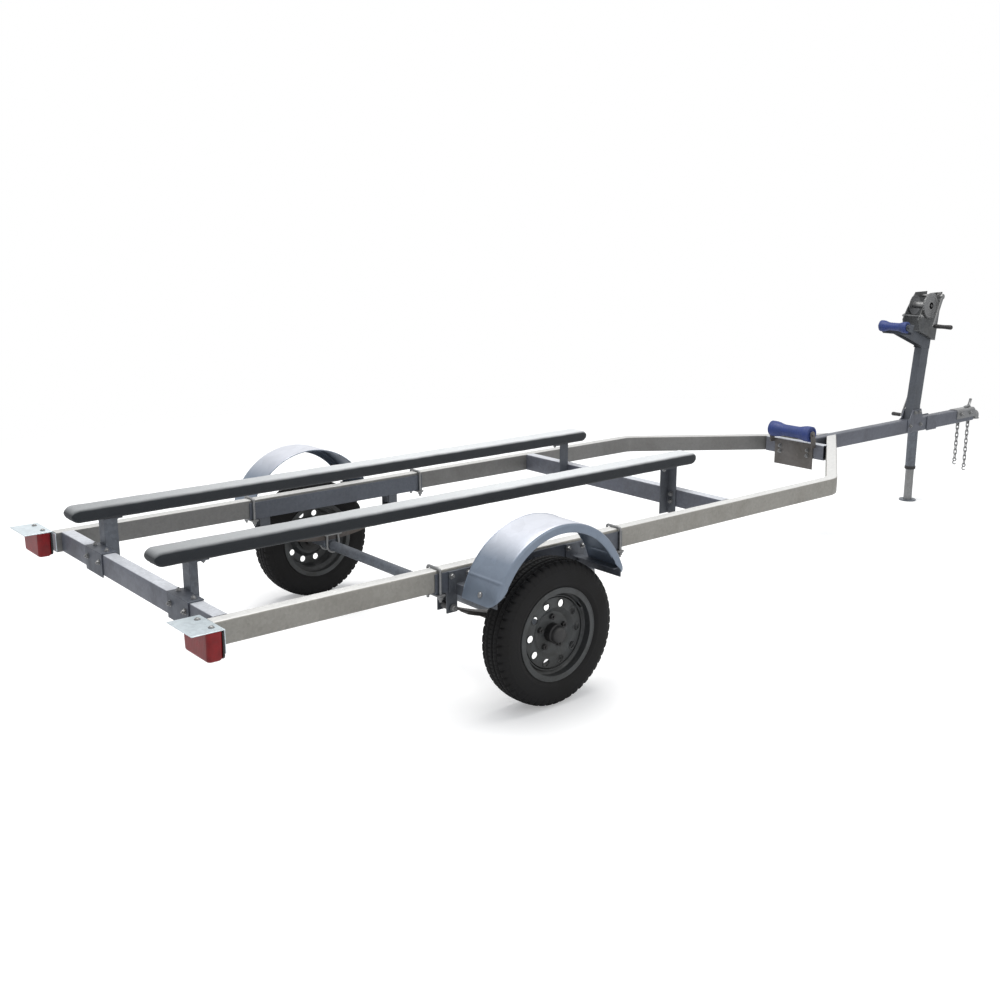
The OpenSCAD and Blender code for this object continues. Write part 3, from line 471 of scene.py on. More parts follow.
def hexBolt(at, axis, size, washer=True, dome=False):
    # rings of a washer, a six-sided head whose radius is its flat over the cosine of the
    # angle from the flat's middle, and a chamfered crown
    turn = np.linspace(0, 2 * math.pi, 24, endpoint=False)
    flat = size / np.cos((turn + math.pi / 6) % (math.pi / 3) - math.pi / 6)
    circle = np.full(24, size)
    rows = []
    low = 0.0
    if washer:
        rows += [(circle * 1.5, 0.0), (circle * 1.5, 0.22 * size)]
        low = 0.22 * size
    if dome:
        tilt = np.linspace(0, 1.35, 6)
        rows += [(circle * 1.2 * math.cos(t), low + 0.75 * size * math.sin(t)) for t in tilt]
    else:
        rows += [(flat, low), (flat, low + size), (circle * 0.94, low + 1.12 * size)]
        rows += [(circle * 0.5, low + 1.12 * size), (circle * 0.46, low + 1.7 * size)]
    points = np.concatenate([np.stack([r * np.cos(turn), r * np.sin(turn), np.full(24, h)], 1) for r, h in rows])
    return points @ basis(axis) + np.asarray(at, float), skinFaces(len(rows), 24)


def finishNode(name, mat):
    piece = nodes[name]
    if not piece.material_slots:
        piece.data.materials.append(mat)
    for held in piece.material_slots:
        held.material = mat


def box(name):
    low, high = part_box(name)
    return np.array(low), np.array(high)


# a node's own mesh, merged and with its edges rounded, standing for that node
def softened(name, mat, width=0.0012, body="frame", smooth=35):
    work = bmesh.new()
    work.from_mesh(nodes[name].data)
    bmesh.ops.remove_doubles(work, verts=work.verts, dist=2e-5)
    bmesh.ops.dissolve_limit(work, angle_limit=math.radians(0.6), verts=work.verts, edges=work.edges)
    mesh = bpy.data.meshes.new(name + "_plate")
    work.to_mesh(mesh)
    work.free()
    mesh.polygons.foreach_set("use_smooth", np.ones(len(mesh.polygons), bool))
    mesh.set_sharp_from_angle(angle=math.radians(smooth))
    mesh.materials.clear()
    mesh.materials.append(mat)
    piece = bpy.data.objects.new(name + "_plate", mesh)
    scene.collection.objects.link(piece)
    roundEdges(piece, width, 50)
    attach(piece, body)
    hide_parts(name)
    return piece


# frame: every tube is a rounded box carried along its centre line

frameTubes = {"width": 0.050, "height": 0.076, "wall": 0.003, "corner": 0.0055, "bendRadius": 0.11,
              "bendAt": 0.36602, "bendAngle": 35.4, "toTongue": 0.0252}


def bentLine(side):
    # straight, then an arc of the bend radius whose ends touch both straights, then straight on
    low, high = box("left_rail")
    f = frameTubes
    angle = math.radians(f["bendAngle"])
    y, z = high[1] - f["width"] / 2, (low[2] + high[2]) / 2
    reach = f["bendRadius"] * math.tan(angle / 2)
    turn = np.linspace(0, angle, 14)
    arcX = f["bendAt"] - reach + f["bendRadius"] * np.sin(turn)
    arcY = y - f["bendRadius"] * (1 - np.cos(turn))
    lastX = f["bendAt"] + (y - f["toTongue"]) / math.tan(angle)
    x = np.concatenate([[low[0], low[0] + 1.0, low[0] + 2.0], arcX, [lastX]])
    yy = np.concatenate([[y, y, y], arcY, [f["toTongue"]]])
    return np.stack([x, side * yy, np.full(len(x), z)], 1)


def makeFrame():
    f = frameTubes
    size = (f["width"], f["height"], f["wall"], f["corner"])
    for side, name, mat in ((1, "left_rail", shadedFarRailZinc), (-1, "right_rail", railZinc)):
        shape = tubeAlong(bentLine(side), *size, cutLast=(1, side * f["toTongue"]))
        newPiece(name + "_tube", shape, mat, "frame", replaces=[name])
    # the front one's ends are cut back to clear the slanting rails
    for name, cut in (("rear_crossmember", 0), ("middle_crossmember", 0), ("front_crossmember", 0.017)):
        low, high = box(name)
        x, z = (low[0] + high[0]) / 2, (low[2] + high[2]) / 2
        ends = [(x, y, z) for y in (low[1] + cut, high[1] - cut)]
        newPiece(name + "_tube", tubeAlong(ends, *size), shadedMemberZinc, "frame", replaces=[name])
    low, high = box("tongue")
    z = (low[2] + high[2]) / 2
    line = [(low[0], 0, z), (2.0, 0, z), (high[0], 0, z)]
    newPiece("tongue_tube", tubeAlong(line, *size), shadedTongueZinc, "frame", replaces=["tongue"])
    low, high = box("winch_post")
    lean = math.tan(math.radians(7.3))
    foot = np.array([high[0] - 0.0377 - 0.4 * lean, 0, low[2]])
    top = foot + np.array([0.4 * lean, 0, 0.4])
    shape = tubeAlong([foot - (top - foot) * 0.02, foot + (top - foot) * 0.5, top], *size, cutFirst=(2, low[2]),
                      up=(1, 0, 0))
    newPiece("winch_post_tube", shape, shadedPostZinc, "frame", replaces=["winch_post"])


makeFrame()


# square clamp block with its nut, on the front of the post just under the winch
def makePostClamp():
    low, high = box("winch_post")
    lean = math.radians(7.3)
    along = np.array([math.sin(lean), 0, math.cos(lean)])
    out = np.array([math.cos(lean), 0, -math.sin(lean)])
    # a point on the post's front face, this far down from its top
    spot = np.array([high[0], 0, high[2]]) - 0.092 * along
    line = [spot + out * 0.0005 - along * 0.019, spot + out * 0.0005, spot + out * 0.0005 + along * 0.019]
    block = rodAlong(np.array(line) + out * 0.008, roundedBox(0.030, 0.016, 0.002, 3), up=tuple(out))
    nut = hexBolt(tuple(spot + out * 0.0165), tuple(out), 0.0085)
    newPiece("winch_post_clamp", joined([block, nut]), shadedPostZinc, "frame", smooth=35)


makePostClamp()

plates = {"post_base": (shadedTongueZinc, "galvanised"), "bow_arm": (shadedPostZinc, "galvanised"),
          "bow_bracket": (shadedPostZinc, "galvanised"), "winch_frame": (winchZinc, "zinc"),
          "keel_bracket": (keelZinc, "galvanised"), "rear_bunk_posts": (bracketZinc, "galvanised"),
          "front_bunk_posts": (shadedPostZinc, "galvanised"), "bunk_brackets": (shadedSleeveZinc, "galvanised"),
          "left_axle_carrier": (shadedSleeveZinc, "galvanised"), "right_axle_carrier": (shadedSleeveZinc, "galvanised"),
          "spring_hangers": (shadedPostZinc, "galvanised"), "fender_arms": (shadedPostZinc, "galvanised"),
          "light_brackets": (plateZinc, "zinc"), "jack_bracket": (shadedTongueZinc, "zinc")}
for plateNode, (plateMat, plateSlot) in plates.items():
    softened(plateNode, plateMat)
print("frame and brackets made")


# fenders: a section of sheet with a turned-down lip, carried round the wheel's arch

fenderSet = {"radius": 0.302, "sheet": 0.0018, "corner": 0.010, "lip": 0.030, "bead": 0.0036, "flat": 16.5,
             "round": 0.048}


def makeFender(side, name):
    f = fenderSet
    low, high = box(name)
    radius, centreX = f["radius"], (low[0] + high[0]) / 2
    centreZ = high[2] - radius
    first = math.asin((low[2] - centreZ) / radius)
    crease = first + math.radians(f["flat"])
    turn = np.concatenate([np.linspace(first, crease + 0.04, 40)[:-1],
                           np.linspace(crease + 0.04, math.pi - crease - 0.04, 91),
                           np.linspace(math.pi - crease - 0.04, math.pi - first, 40)[1:]])
    toEnd = np.minimum(turn, math.pi - turn)
    # a pressed crease sets the bolted tail off from the arch
    r = radius + 0.0016 * np.exp(-((toEnd - crease) * radius / 0.0045) ** 2)
    # section across: u runs over the sheet, round its corner and down the lip
    width = high[1] - low[1]
    bend = np.linspace(0, math.pi / 2, 6)[1:]
    y = np.concatenate([np.linspace(0, width - f["corner"], 12), width - f["corner"] + f["corner"] * np.sin(bend),
                        np.full(6, width)])
    d = np.concatenate([np.zeros(12), f["corner"] * (1 - np.cos(bend)), np.linspace(f["corner"], f["lip"], 7)[1:]])
    # the lip dies out on the tail, and the tail's outer edge draws in along a quarter circle to its end
    run = (toEnd - first) * radius
    lipShare = np.clip(run / (0.9 * f["flat"] * math.pi / 180 * radius), 0, 1)
    lipShare = 0.12 + 0.88 * lipShare ** 2 * (3 - 2 * lipShare)
    drawn = f["round"] * (1 - np.sqrt(np.clip(1 - (1 - np.clip(run / f["round"], 0, 1)) ** 2, 0, 1)))
    depth = d[:, None] * np.where(d[:, None] > 0, lipShare[None, :], 1)
    yy = y[:, None] * (1 - drawn[None, :] / width)
    normalY, normalR = np.gradient(d), np.gradient(y)
    length = np.hypot(normalY, normalR)
    skins = []
    for inset in (0.0, f["sheet"]):
        rr = r[None, :] - depth - inset * (normalR / length)[:, None]
        ys = yy - inset * (normalY / length)[:, None]
        skins.append(np.stack([centreX + rr * np.cos(turn)[None, :],
                               side * (abs(low[1] if side > 0 else high[1]) + ys),
                               centreZ + rr * np.sin(turn)[None, :]], -1))
    # a rolled bead along the lip's edge, a rib half way down the lip and a fine bead inside
    over = slice(40, -40)
    edge = (skins[0][-1] + skins[1][-1])[over] / 2
    edge[:, 1] -= side * 0.0036
    rib = skins[0][-4][over].copy()
    rib[:, 1] -= side * 0.0023
    inner = (skins[0][0] + skins[1][0])[12:-12] / 2
    beads = [rodAlong(edge, circleLoop(f["bead"], 10), up=(0, side, 0)),
             rodAlong(rib, circleLoop(0.0020, 8), up=(0, side, 0)),
             rodAlong(inner + np.array([0, side * 0.0022, 0]), circleLoop(0.0026, 8), up=(0, side, 0))]
    newPiece(name + "_sheet", joined([thickSheet(*skins)] + beads), shadedFenderZinc, "frame", smooth=40,
             replaces=[name])


makeFender(1, "left_fender")
makeFender(-1, "right_fender")
print("fenders made")


# wheels

wheelSet = {"tyreR": 0.262, "halfW": 0.062, "pitch": 52, "groove": 0.0065, "ventAt": 0.152 * 0.7, "ventLip": 0.0152,
            "discY": 0.0295, "nutAt": 0.0572}


def tyreShape(turn, r, y):
    # four grooves round the tread, cross cuts in the ribs and deep lugs over the shoulders,
    # each a smooth dip: one minus the distance to its middle over half of its width
    w = wheelSet
    onTread = np.clip((r - 0.2405) / 0.012, 0, 1)

    def dip(distance, width):
        return np.clip(1.35 - np.abs(distance) / (width / 2), 0, 1)

    cross = turn * w["pitch"] / (2 * math.pi)
    rings = sum(dip(np.abs(y) - at, 0.0062) for at in (0.0115, 0.0325))
    phase = (cross + 0.25 * np.sign(y) + 6.0 * np.abs(y)) % 1 - 0.5
    lug = dip(phase * (2 * math.pi * w["tyreR"] / w["pitch"]), 0.0085) * np.clip((np.abs(y) - 0.034) / 0.002, 0, 1)
    zig = (cross * 2 + 14 * np.abs(y) + 0.5) % 1 - 0.5
    sipe = dip(zig * (math.pi * w["tyreR"] / w["pitch"]), 0.0026) * np.clip((0.031 - np.abs(y)) / 0.002, 0, 1)
    cut = np.maximum(np.maximum(np.clip(rings, 0, 1), lug), 0.6 * sipe)
    outside = (np.abs(y) > 0.040) * np.clip((r - 0.226) / 0.010, 0, 1)
    side = np.clip((np.abs(y) - 0.048) / 0.004, 0, 1)
    sideLug = lug * side * 0.55
    return -w["groove"] * (cut * onTread * (1 - side) + sideLug * outside)


def tyreProfile():
    w = wheelSet
    h, top = w["halfW"], w["tyreR"]
    outer = [(0.1525, -0.049), (0.160, -0.0515), (0.1700, -0.0535), (0.180, -0.0600), (0.200, -h), (0.222, -h),
             (0.238, -0.0585), (0.2500, -0.0530), (0.2575, -0.0455), (0.2608, -0.030), (top, -0.012)]
    outer = outer + [(r, -y) for r, y in outer[::-1]]
    inner = [(0.1535, 0.030), (0.170, 0.044), (0.200, 0.050), (0.226, 0.048), (0.243, 0.036), (0.247, 0.0)]
    inner = inner + [(r, -y) for r, y in inner[-2::-1]]
    loop = resampled(smoothLoop(outer + inner), 168)
    # two raised rings on each flank
    for at, high in ((0.1845, 0.0011), (0.2290, 0.0009)):
        near = np.exp(-((loop[:, 0] - at) / 0.0022) ** 2) * (np.abs(loop[:, 1]) > 0.052)
        loop[:, 1] += np.sign(loop[:, 1]) * high * near
    return loop


def makeWheel(side, word):
    w = wheelSet
    low, high = box(word + "_tyre")
    at = (low + high) / 2
    body = word + "_wheel"
    newPiece(word + "_tyre_tread", turned(tyreProfile(), at, "y", 520, True, tyreShape), tyreRubber, body,
             smooth=42, replaces=[word + "_tyre"])
    finishNode(word + "_rim", rimPaint)
    finishNode(word + "_hub", hubPaint)
    # pressed lips round the disc's holes, each a small ring
    lips = []
    for n in range(10):
        a = n * math.pi / 5
        mid = at + np.array([w["ventAt"] * math.cos(a), side * w["discY"], -w["ventAt"] * math.sin(a)])
        lips.append(rodAlong(ringLine(w["ventLip"], mid, 28), circleLoop(0.0022, 8), up=(0, 1, 0), closed=True))
    # a bead along the flange's edge and a step where the disc meets the barrel
    for radius, y, thick in ((0.1655, 0.0545, 0.0026), (0.1335, 0.0285, 0.0030)):
        ring = ringLine(radius, at + (0, side * y, 0), 120)
        lips.append(rodAlong(ring, circleLoop(thick, 8), up=(0, 1, 0), closed=True))
    newPiece(word + "_rim_beads", joined(lips), rimPaint, body)
    # wheel nuts on their bolt circle, the bearing's cap and the valve
    nuts = []
    for n in range(5):
        a = n * 2 * math.pi / 5 + 0.3
        spot = at + np.array([w["nutAt"] * math.cos(a), side * 0.0185, w["nutAt"] * math.sin(a)])
        nuts.append(hexBolt(spot, (0, side, 0), 0.0098, washer=False))
    newPiece(word + "_wheel_nuts", joined(nuts), gripBlack, body)
    dome = [(0.0285, 0.040), (0.0335, 0.0415), (0.0345, 0.046), (0.0318, 0.0488), (0.0300, 0.052), (0.0295, 0.060),
            (0.0262, 0.0645), (0.0185, 0.067), (0.006, 0.0678)]
    dome = [(r, side * y) for r, y in dome]
    newPiece(word + "_bearing_cap", turned(dome, at, "y", 48, False), hubPaint, body)
    tilt = np.array([math.cos(0.62), 0, math.sin(0.62)])
    stem = np.array([at + 0.140 * tilt + (0, side * 0.026, 0), at + 0.134 * tilt + (0, side * 0.044, 0),
                     at + 0.131 * tilt + (0, side * 0.056, 0)])
    newPiece(word + "_valve", rodAlong(stem, circleLoop(0.0038, 12), up=(1, 0, 0.2)), gripBlack, body)


makeWheel(1, "left")
makeWheel(-1, "right")
print("wheels made")


# bunks: a board wrapped in carpet, rounded at both ends, with a lapped seam underneath

bunkSet = {"corner": 0.014, "nose": 0.030, "wave": 0.0005, "seam": 0.0016, "lift": 0.0010}


def makeBunk(name, phase):
    b = bunkSet
    low, high = box(name)
    size = high - low
    loop = resampled(roundedBox(size[1] - 0.0016, size[2] - 0.0036, b["corner"], 7), 96)
    nose = b["nose"]
    turn = np.linspace(0.10, math.pi / 2, 12)
    x = np.concatenate([nose - nose * np.cos(turn), np.linspace(nose, size[0] - nose, 150)[1:-1],
                        size[0] - nose + nose * np.cos(turn[::-1])])
    edge = np.minimum(x, size[0] - x)
    rise = np.sqrt(np.clip(1 - (1 - np.clip(edge / nose, 0, 1)) ** 2, 0.004, 1))
    spread = 1 - 0.20 * (1 - rise)
    wave = b["wave"] * (np.sin(x[:, None] * 31 + phase) * np.sin(loop[None, :, 0] * 70)
                        + 0.7 * np.sin(x[:, None] * 83 + 2 * phase) * np.cos(loop[None, :, 1] * 90))
    seam = -b["seam"] * np.exp(-((loop[None, :, 0] - 0.012) / 0.006) ** 2) * (loop[None, :, 1] < 0)
    y = loop[None, :, 0] * spread[:, None] * (1 + wave / 0.05)
    z = loop[None, :, 1] * rise[:, None] + wave + seam * rise[:, None]
    z += b["lift"]
    mid = (low + high) / 2
    points = np.stack([np.repeat((low[0] + x)[:, None], 96, 1), mid[1] + y, mid[2] + z], -1).reshape(-1, 3)
    shape = points, skinFaces(len(x), 96)
    piece = newPiece(name + "_carpet", shape, bunkCarpet, "frame", smooth=80, replaces=[name])


makeBunk("left_bunk", 0.4)
makeBunk("right_bunk", 2.1)
print("bunks made")


# rollers: moulded spools, thinner in the middle, with fine rings

rollerSet = {"keel_roller": {"length": 0.250, "radius": 0.040, "waist": 0.010, "rings": 16},
             "bow_roller": {"length": 0.165, "radius": 0.031, "waist": 0.009, "rings": 12}}


def makeRoller(name, length, radius, waist, rings, bore=0.0083):
    low, high = box(name)
    at = (low + high) / 2
    s = np.linspace(-1, 1, 121)
    # a flat rim at each end, then a waist that follows a cosine
    inner = np.clip((0.80 - np.abs(s)) / 0.80, 0, 1)
    r = radius - waist * (1 - np.cos(math.pi * np.clip(inner * 1.6, 0, 1))) / 2
    r = r - 0.0007 * (1 - np.cos(s * math.pi * rings)) / 2
    edge = np.clip((1 - np.abs(s)) * length / 2 / 0.004, 0, 1)
    r = r - 0.004 * (1 - np.sqrt(1 - (1 - edge) ** 2))
    half = length / 2
    outside = np.stack([r, s * half], 1)
    right = [(radius - 0.010, half), (radius - 0.013, half - 0.004), (bore + 0.008, half - 0.004),
             (bore + 0.006, half), (bore, half)]
    left = [(rr, -y) for rr, y in right[::-1]]
    loop = np.concatenate([outside, right, left])
    newPiece(name + "_spool", turned(loop, at, "y", 72), rollerBlue, name, replaces=[name])


for rollerName, rollerSizes in rollerSet.items():
    makeRoller(rollerName, **rollerSizes)
print("rollers made")


# tail lights: a lens that narrows to a rounded bottom, standing on a black back shell

lampSet = {"corner": 0.012, "ribs": 15, "taper": 0.05, "backDeep": 0.004, "roundFrom": 0.88}


def makeLamp(name):
    low, high = box(name)
    size = high - low
    mid = (low + high) / 2
    k = lampSet
    down = np.concatenate([[0.0, 0.02], np.linspace(0.05, k["roundFrom"], 16), 1 - (1 - k["roundFrom"]) * (1 - np.sin(
        np.linspace(0.15, math.pi / 2, 9)))])
    # each level is a box with wide rear corners; it draws in below and rounds under
    draw = 1 - k["taper"] * np.clip((down - 0.35) / 0.65, 0, 1) ** 1.6
    past = np.clip((down - k["roundFrom"]) / (1 - k["roundFrom"]), 0, 1)
    under = np.sqrt(np.clip(1 - past ** 2, 0.02, 1))
    loop = resampled(roundedBox(size[0] - k["backDeep"], size[1] - 0.002, k["corner"], 8), 140)
    ribbed = 1 - 0.010 * (0.5 + 0.5 * np.cos(loop[:, 1] / size[1] * 2 * math.pi * k["ribs"]))
    ribbed = np.where(loop[:, 0] < -size[0] * 0.25, ribbed, 1.0)
    x = loop[None, :, 0] * ribbed[None, :] * (0.72 + 0.28 * under[:, None])
    y = loop[None, :, 1] * draw[:, None] * (0.92 + 0.08 * under[:, None])
    z = np.repeat((high[2] - 0.0004 - down * (size[2] - 0.001))[:, None], 140, 1)
    points = np.stack([mid[0] - k["backDeep"] / 2 + x, mid[1] + y, z], -1).reshape(-1, 3)
    shape = points, skinFaces(len(down), 140)
    newPiece(name + "_lens", shape, lensRed, "frame", smooth=50, replaces=[name])
    # back shell against the plate, and the dark gasket round the lens
    shell = roundedBox(size[1] - 0.003, size[2] - 0.005, 0.014, 6)
    line = [(high[0] - k["backDeep"] - 0.002, mid[1], mid[2] + 0.001), (high[0] - 0.0004, mid[1], mid[2] + 0.001)]
    newPiece(name + "_back", rodAlong(line, shell), lampBlack, "frame", bevel=0.0012)
    screws = [hexBolt((low[0] + 0.0030, mid[1] + s * size[1] * 0.30, mid[2] + 0.004), (-1, 0, 0), 0.0030, False, True)
              for s in (-1, 1)]
    newPiece(name + "_screws", joined(screws), brightZinc, "frame")


makeLamp("left_tail_light")
makeLamp("right_tail_light")
print("tail lights made")


# winch: toothed gear and pinion in mesh, a flanged drum and the crank

winchSet = {"pitchR": 0.072, "teeth": 48, "pinionTeeth": 14, "gearTip": 0.0714, "pinionTip": 0.0240,
            "depth": 0.0039, "meshTurn": 30.5, "crankTurn": 23.8, "crankLen": 0.174}


def toothed(teeth, tipR, depth, phase):
    # the radius swings between tip and root with each tooth, its wave clipped flat at both
    def shape(turn, r, y):
        wave = np.clip(1.55 * np.cos(teeth * (turn - phase)), -1, 1)
        return np.where(r > tipR * 0.9, -depth * (1 - wave) / 2, 0.0)
    return shape


def makeWinch():
    k = winchSet
    drumLow, drumHigh = box("winch_drum")
    frameHigh = box("winch_frame")[1]
    gearX, gearZ = (drumLow[0] + drumHigh[0]) / 2, (drumLow[2] + drumHigh[2]) / 2
    gearY = drumLow[1]
    a = math.radians(k["meshTurn"])
    far = k["pitchR"] * (1 + k["pinionTeeth"] / k["teeth"])
    crank = np.array([gearX + far * math.cos(a), 0, gearZ + far * math.sin(a)])
    # the gear: web, rim with teeth and a boss
    wheel = [(0.0085, 0.0), (0.026, 0.0), (0.028, 0.0022), (0.058, 0.0022), (0.061, 0.0), (k["gearTip"], 0.0),
             (k["gearTip"], 0.0078), (0.061, 0.0078), (0.058, 0.0056), (0.028, 0.0056), (0.026, 0.0078),
             (0.0085, 0.0078)]
    gear = turned(wheel, (gearX, gearY, gearZ), "y", 480, True,
                  toothed(k["teeth"], k["gearTip"], k["depth"], a))
    core = [(0.0075, 0.0), (0.019, 0.0), (0.019, 0.0175), (0.0190, 0.018), (0.055, 0.018), (0.056, 0.0195),
            (0.055, 0.021), (0.0205, 0.021), (0.019, 0.0225), (0.019, 0.0995), (0.0205, 0.101), (0.055, 0.101),
            (0.056, 0.1025), (0.055, 0.104), (0.019, 0.104), (0.0075, 0.104)]
    drum = turned([(r, gearY + y) for r, y in core], (gearX, 0, gearZ), "y", 96)
    newPiece("winch_gear", gear, brightZinc, "winch_drum", smooth=30)
    newPiece("winch_drum_core", drum, brightZinc, "winch_drum", replaces=["winch_drum"])
    # the handle's shaft with its pinion, whose gap faces the gear's tooth
    high = box("winch_handle")[1]
    pinionAt = a + math.pi + math.pi / k["pinionTeeth"]
    cog = [(0.0085, 0.0), (k["pinionTip"], 0.0), (k["pinionTip"], 0.0078), (0.0085, 0.0078)]
    pinion = turned(cog, (crank[0], gearY, crank[2]), "y", 168, True,
                    toothed(k["pinionTeeth"], k["pinionTip"], k["depth"], pinionAt))
    armY = gearY - 0.014
    shaft = [(0.0075, armY - 0.0058), (0.0088, armY - 0.0045), (0.0088, high[1] - 0.0015), (0.0075, high[1])]
    shaftShape = turned(shaft, (crank[0], 0, crank[2]), "y", 32, False)
    t = math.radians(k["crankTurn"])
    down = np.array([-math.sin(t), 0, -math.cos(t)])
    grip = crank + k["crankLen"] * down
    arm = np.array([crank - 0.008 * down, crank + 0.02 * down, crank + 0.10 * down, grip + 0.008 * down])
    arm[:, 1] = armY - 0.003
    armShape = rodAlong(arm, roundedBox(0.0055, 0.020, 0.0022, 4), up=(math.cos(t), 0, -math.sin(t)))
    boss = turned([(0.0145, armY - 0.0068), (0.0155, armY - 0.005), (0.0155, armY + 0.001), (0.0145, armY + 0.002)],
                  (crank[0], 0, crank[2]), "y", 40, False)
    newPiece("winch_crank_arm", joined([pinion, shaftShape, armShape, boss]), brightZinc, "winch_crank",
             smooth=35, replaces=["winch_handle"])
    knob = [(0.0060, armY - 0.006), (0.0095, armY - 0.009), (0.0115, armY - 0.016), (0.0118, armY - 0.040),
            (0.0105, armY - 0.062), (0.0120, armY - 0.092), (0.0128, armY - 0.106), (0.0118, armY - 0.113),
            (0.0085, armY - 0.1158), (0.003, armY - 0.116)]
    knob = smoothLoop(knob, 2, False)
    newPiece("winch_crank_grip", turned(knob, (grip[0], 0, grip[2]), "y", 40, False), gripBlack, "winch_crank")
    # pawl, its spring pin and the cheeks' tie bolts
    bolts = []
    for x, z in ((-0.118, 0.186), (0.058, 0.292)):
        for s in (-1, 1):
            bolts.append(hexBolt((gearX + 0.039 + x, s * 0.049, gearZ - 0.242 + z), (0, s, 0), 0.0085))
    bolts.append(hexBolt((gearX, frameHigh[1] - 0.008, gearZ), (0, 1, 0), 0.010))
    pawlLine = np.array([[gearX + 0.005, -0.0505, gearZ + 0.066], [gearX - 0.016, -0.0505, gearZ + 0.061],
                         [gearX - 0.030, -0.0505, gearZ + 0.052]])
    pawl = rodAlong(pawlLine, roundedBox(0.0025, 0.010, 0.001, 3), up=(0, 0, 1))
    newPiece("winch_bolts", joined(bolts + [pawl]), brightZinc, "frame")


makeWinch()
print("winch made")


# safety chains: round-wire links turned by a quarter from one to the next, and S hooks

chainSet = {"wire": 0.003, "long": 0.020, "wide": 0.011, "backs": ((0.128, 8), (0.014, 10)), "hookR": 0.0097}


def linkLine(count=28):
    # half circles of the link's half width, as far apart as its straight sides
    r = chainSet["wide"] - chainSet["wire"]
    straight = chainSet["long"] - chainSet["wide"]
    half = np.linspace(0, math.pi, count // 2)
    top = np.stack([r * np.cos(half), straight + r * np.sin(half)], 1)
    return np.concatenate([top, -top])


def makeChains():
    k = chainSet
    tongueEnd, railLow = box("tongue")[1][0], box("tongue")[0][2]
    parts = []
    line = linkLine()

    def rise(radius, halfWide):
        return radius - math.sqrt(radius ** 2 - halfWide ** 2)

    pitch = 2 * k["long"] - 4 * k["wire"] - 2 * rise(0.005, 0.003) - 0.0005
    first = railLow - 0.012 - 0.007 + rise(0.007, 0.003) + rise(0.005, 0.004) + 0.006 + 0.0005 - 0.020
    for back, count in k["backs"]:
        x = tongueEnd - back
        for n in range(count):
            z = first - n * pitch
            flatWay = n % 2 == 1
            path = np.stack([x + line[:, 0] * flatWay, line[:, 0] * (not flatWay), z + line[:, 1]], 1)
            up = (0, 1, 0) if flatWay else (1, 0, 0)
            parts.append(rodAlong(path, circleLoop(k["wire"], 8), up=up, closed=True))
        # hook: an eye that is nearly closed and, below it, a crook that opens the other way
        z = first - (count - 1) * pitch - 0.020 + 0.006 + 0.0022
        top = np.linspace(math.radians(-62), math.radians(270), 26)
        bottom = np.linspace(math.radians(90), math.radians(-150), 20)
        rad = k["hookR"]
        upper = np.stack([rad * np.cos(top), z - 0.0100 + rad * np.sin(top)], 1)
        lower = np.stack([rad * np.cos(bottom), z - 0.0100 - 2 * rad + rad * np.sin(bottom)], 1)
        s = np.concatenate([upper, lower[1:]])
        lastFlat = (count - 1) % 2 == 1
        path = np.stack([x + s[:, 0] * (not lastFlat), s[:, 0] * lastFlat, s[:, 1]], 1)
        parts.append(rodAlong(path, circleLoop(0.0033, 10), up=(0, 1, 0) if not lastFlat else (1, 0, 0)))
        # the ear: a flat ring welded under the tongue
        turn = np.linspace(0, 2 * math.pi, 48, endpoint=False)
        wide = 0.014 / np.maximum(np.abs(np.cos(turn)), 1e-6)
        tall = 0.012 / np.maximum(np.sin(turn), 1e-6)
        outer = np.where(np.sin(turn) > 0, np.minimum(wide, tall), np.minimum(wide, 0.0135))
        eye = np.full(48, 0.007)
        rings = []
        for radius, y in ((eye, -0.004), (outer, -0.004), (outer, 0.004), (eye, 0.004)):
            rings.append(np.stack([x + radius * np.cos(turn), np.full(48, y),
                                   railLow - 0.012 + radius * np.sin(turn)], 1))
        parts.append((np.concatenate(rings), gridFaces(4, 48, True, True)))
    newPiece("safety_chain_links", joined(parts), brightZinc, "frame", smooth=50, replaces=["safety_chains"])


makeChains()


# coupler: a pressed channel over the tongue that runs down into the ball dome

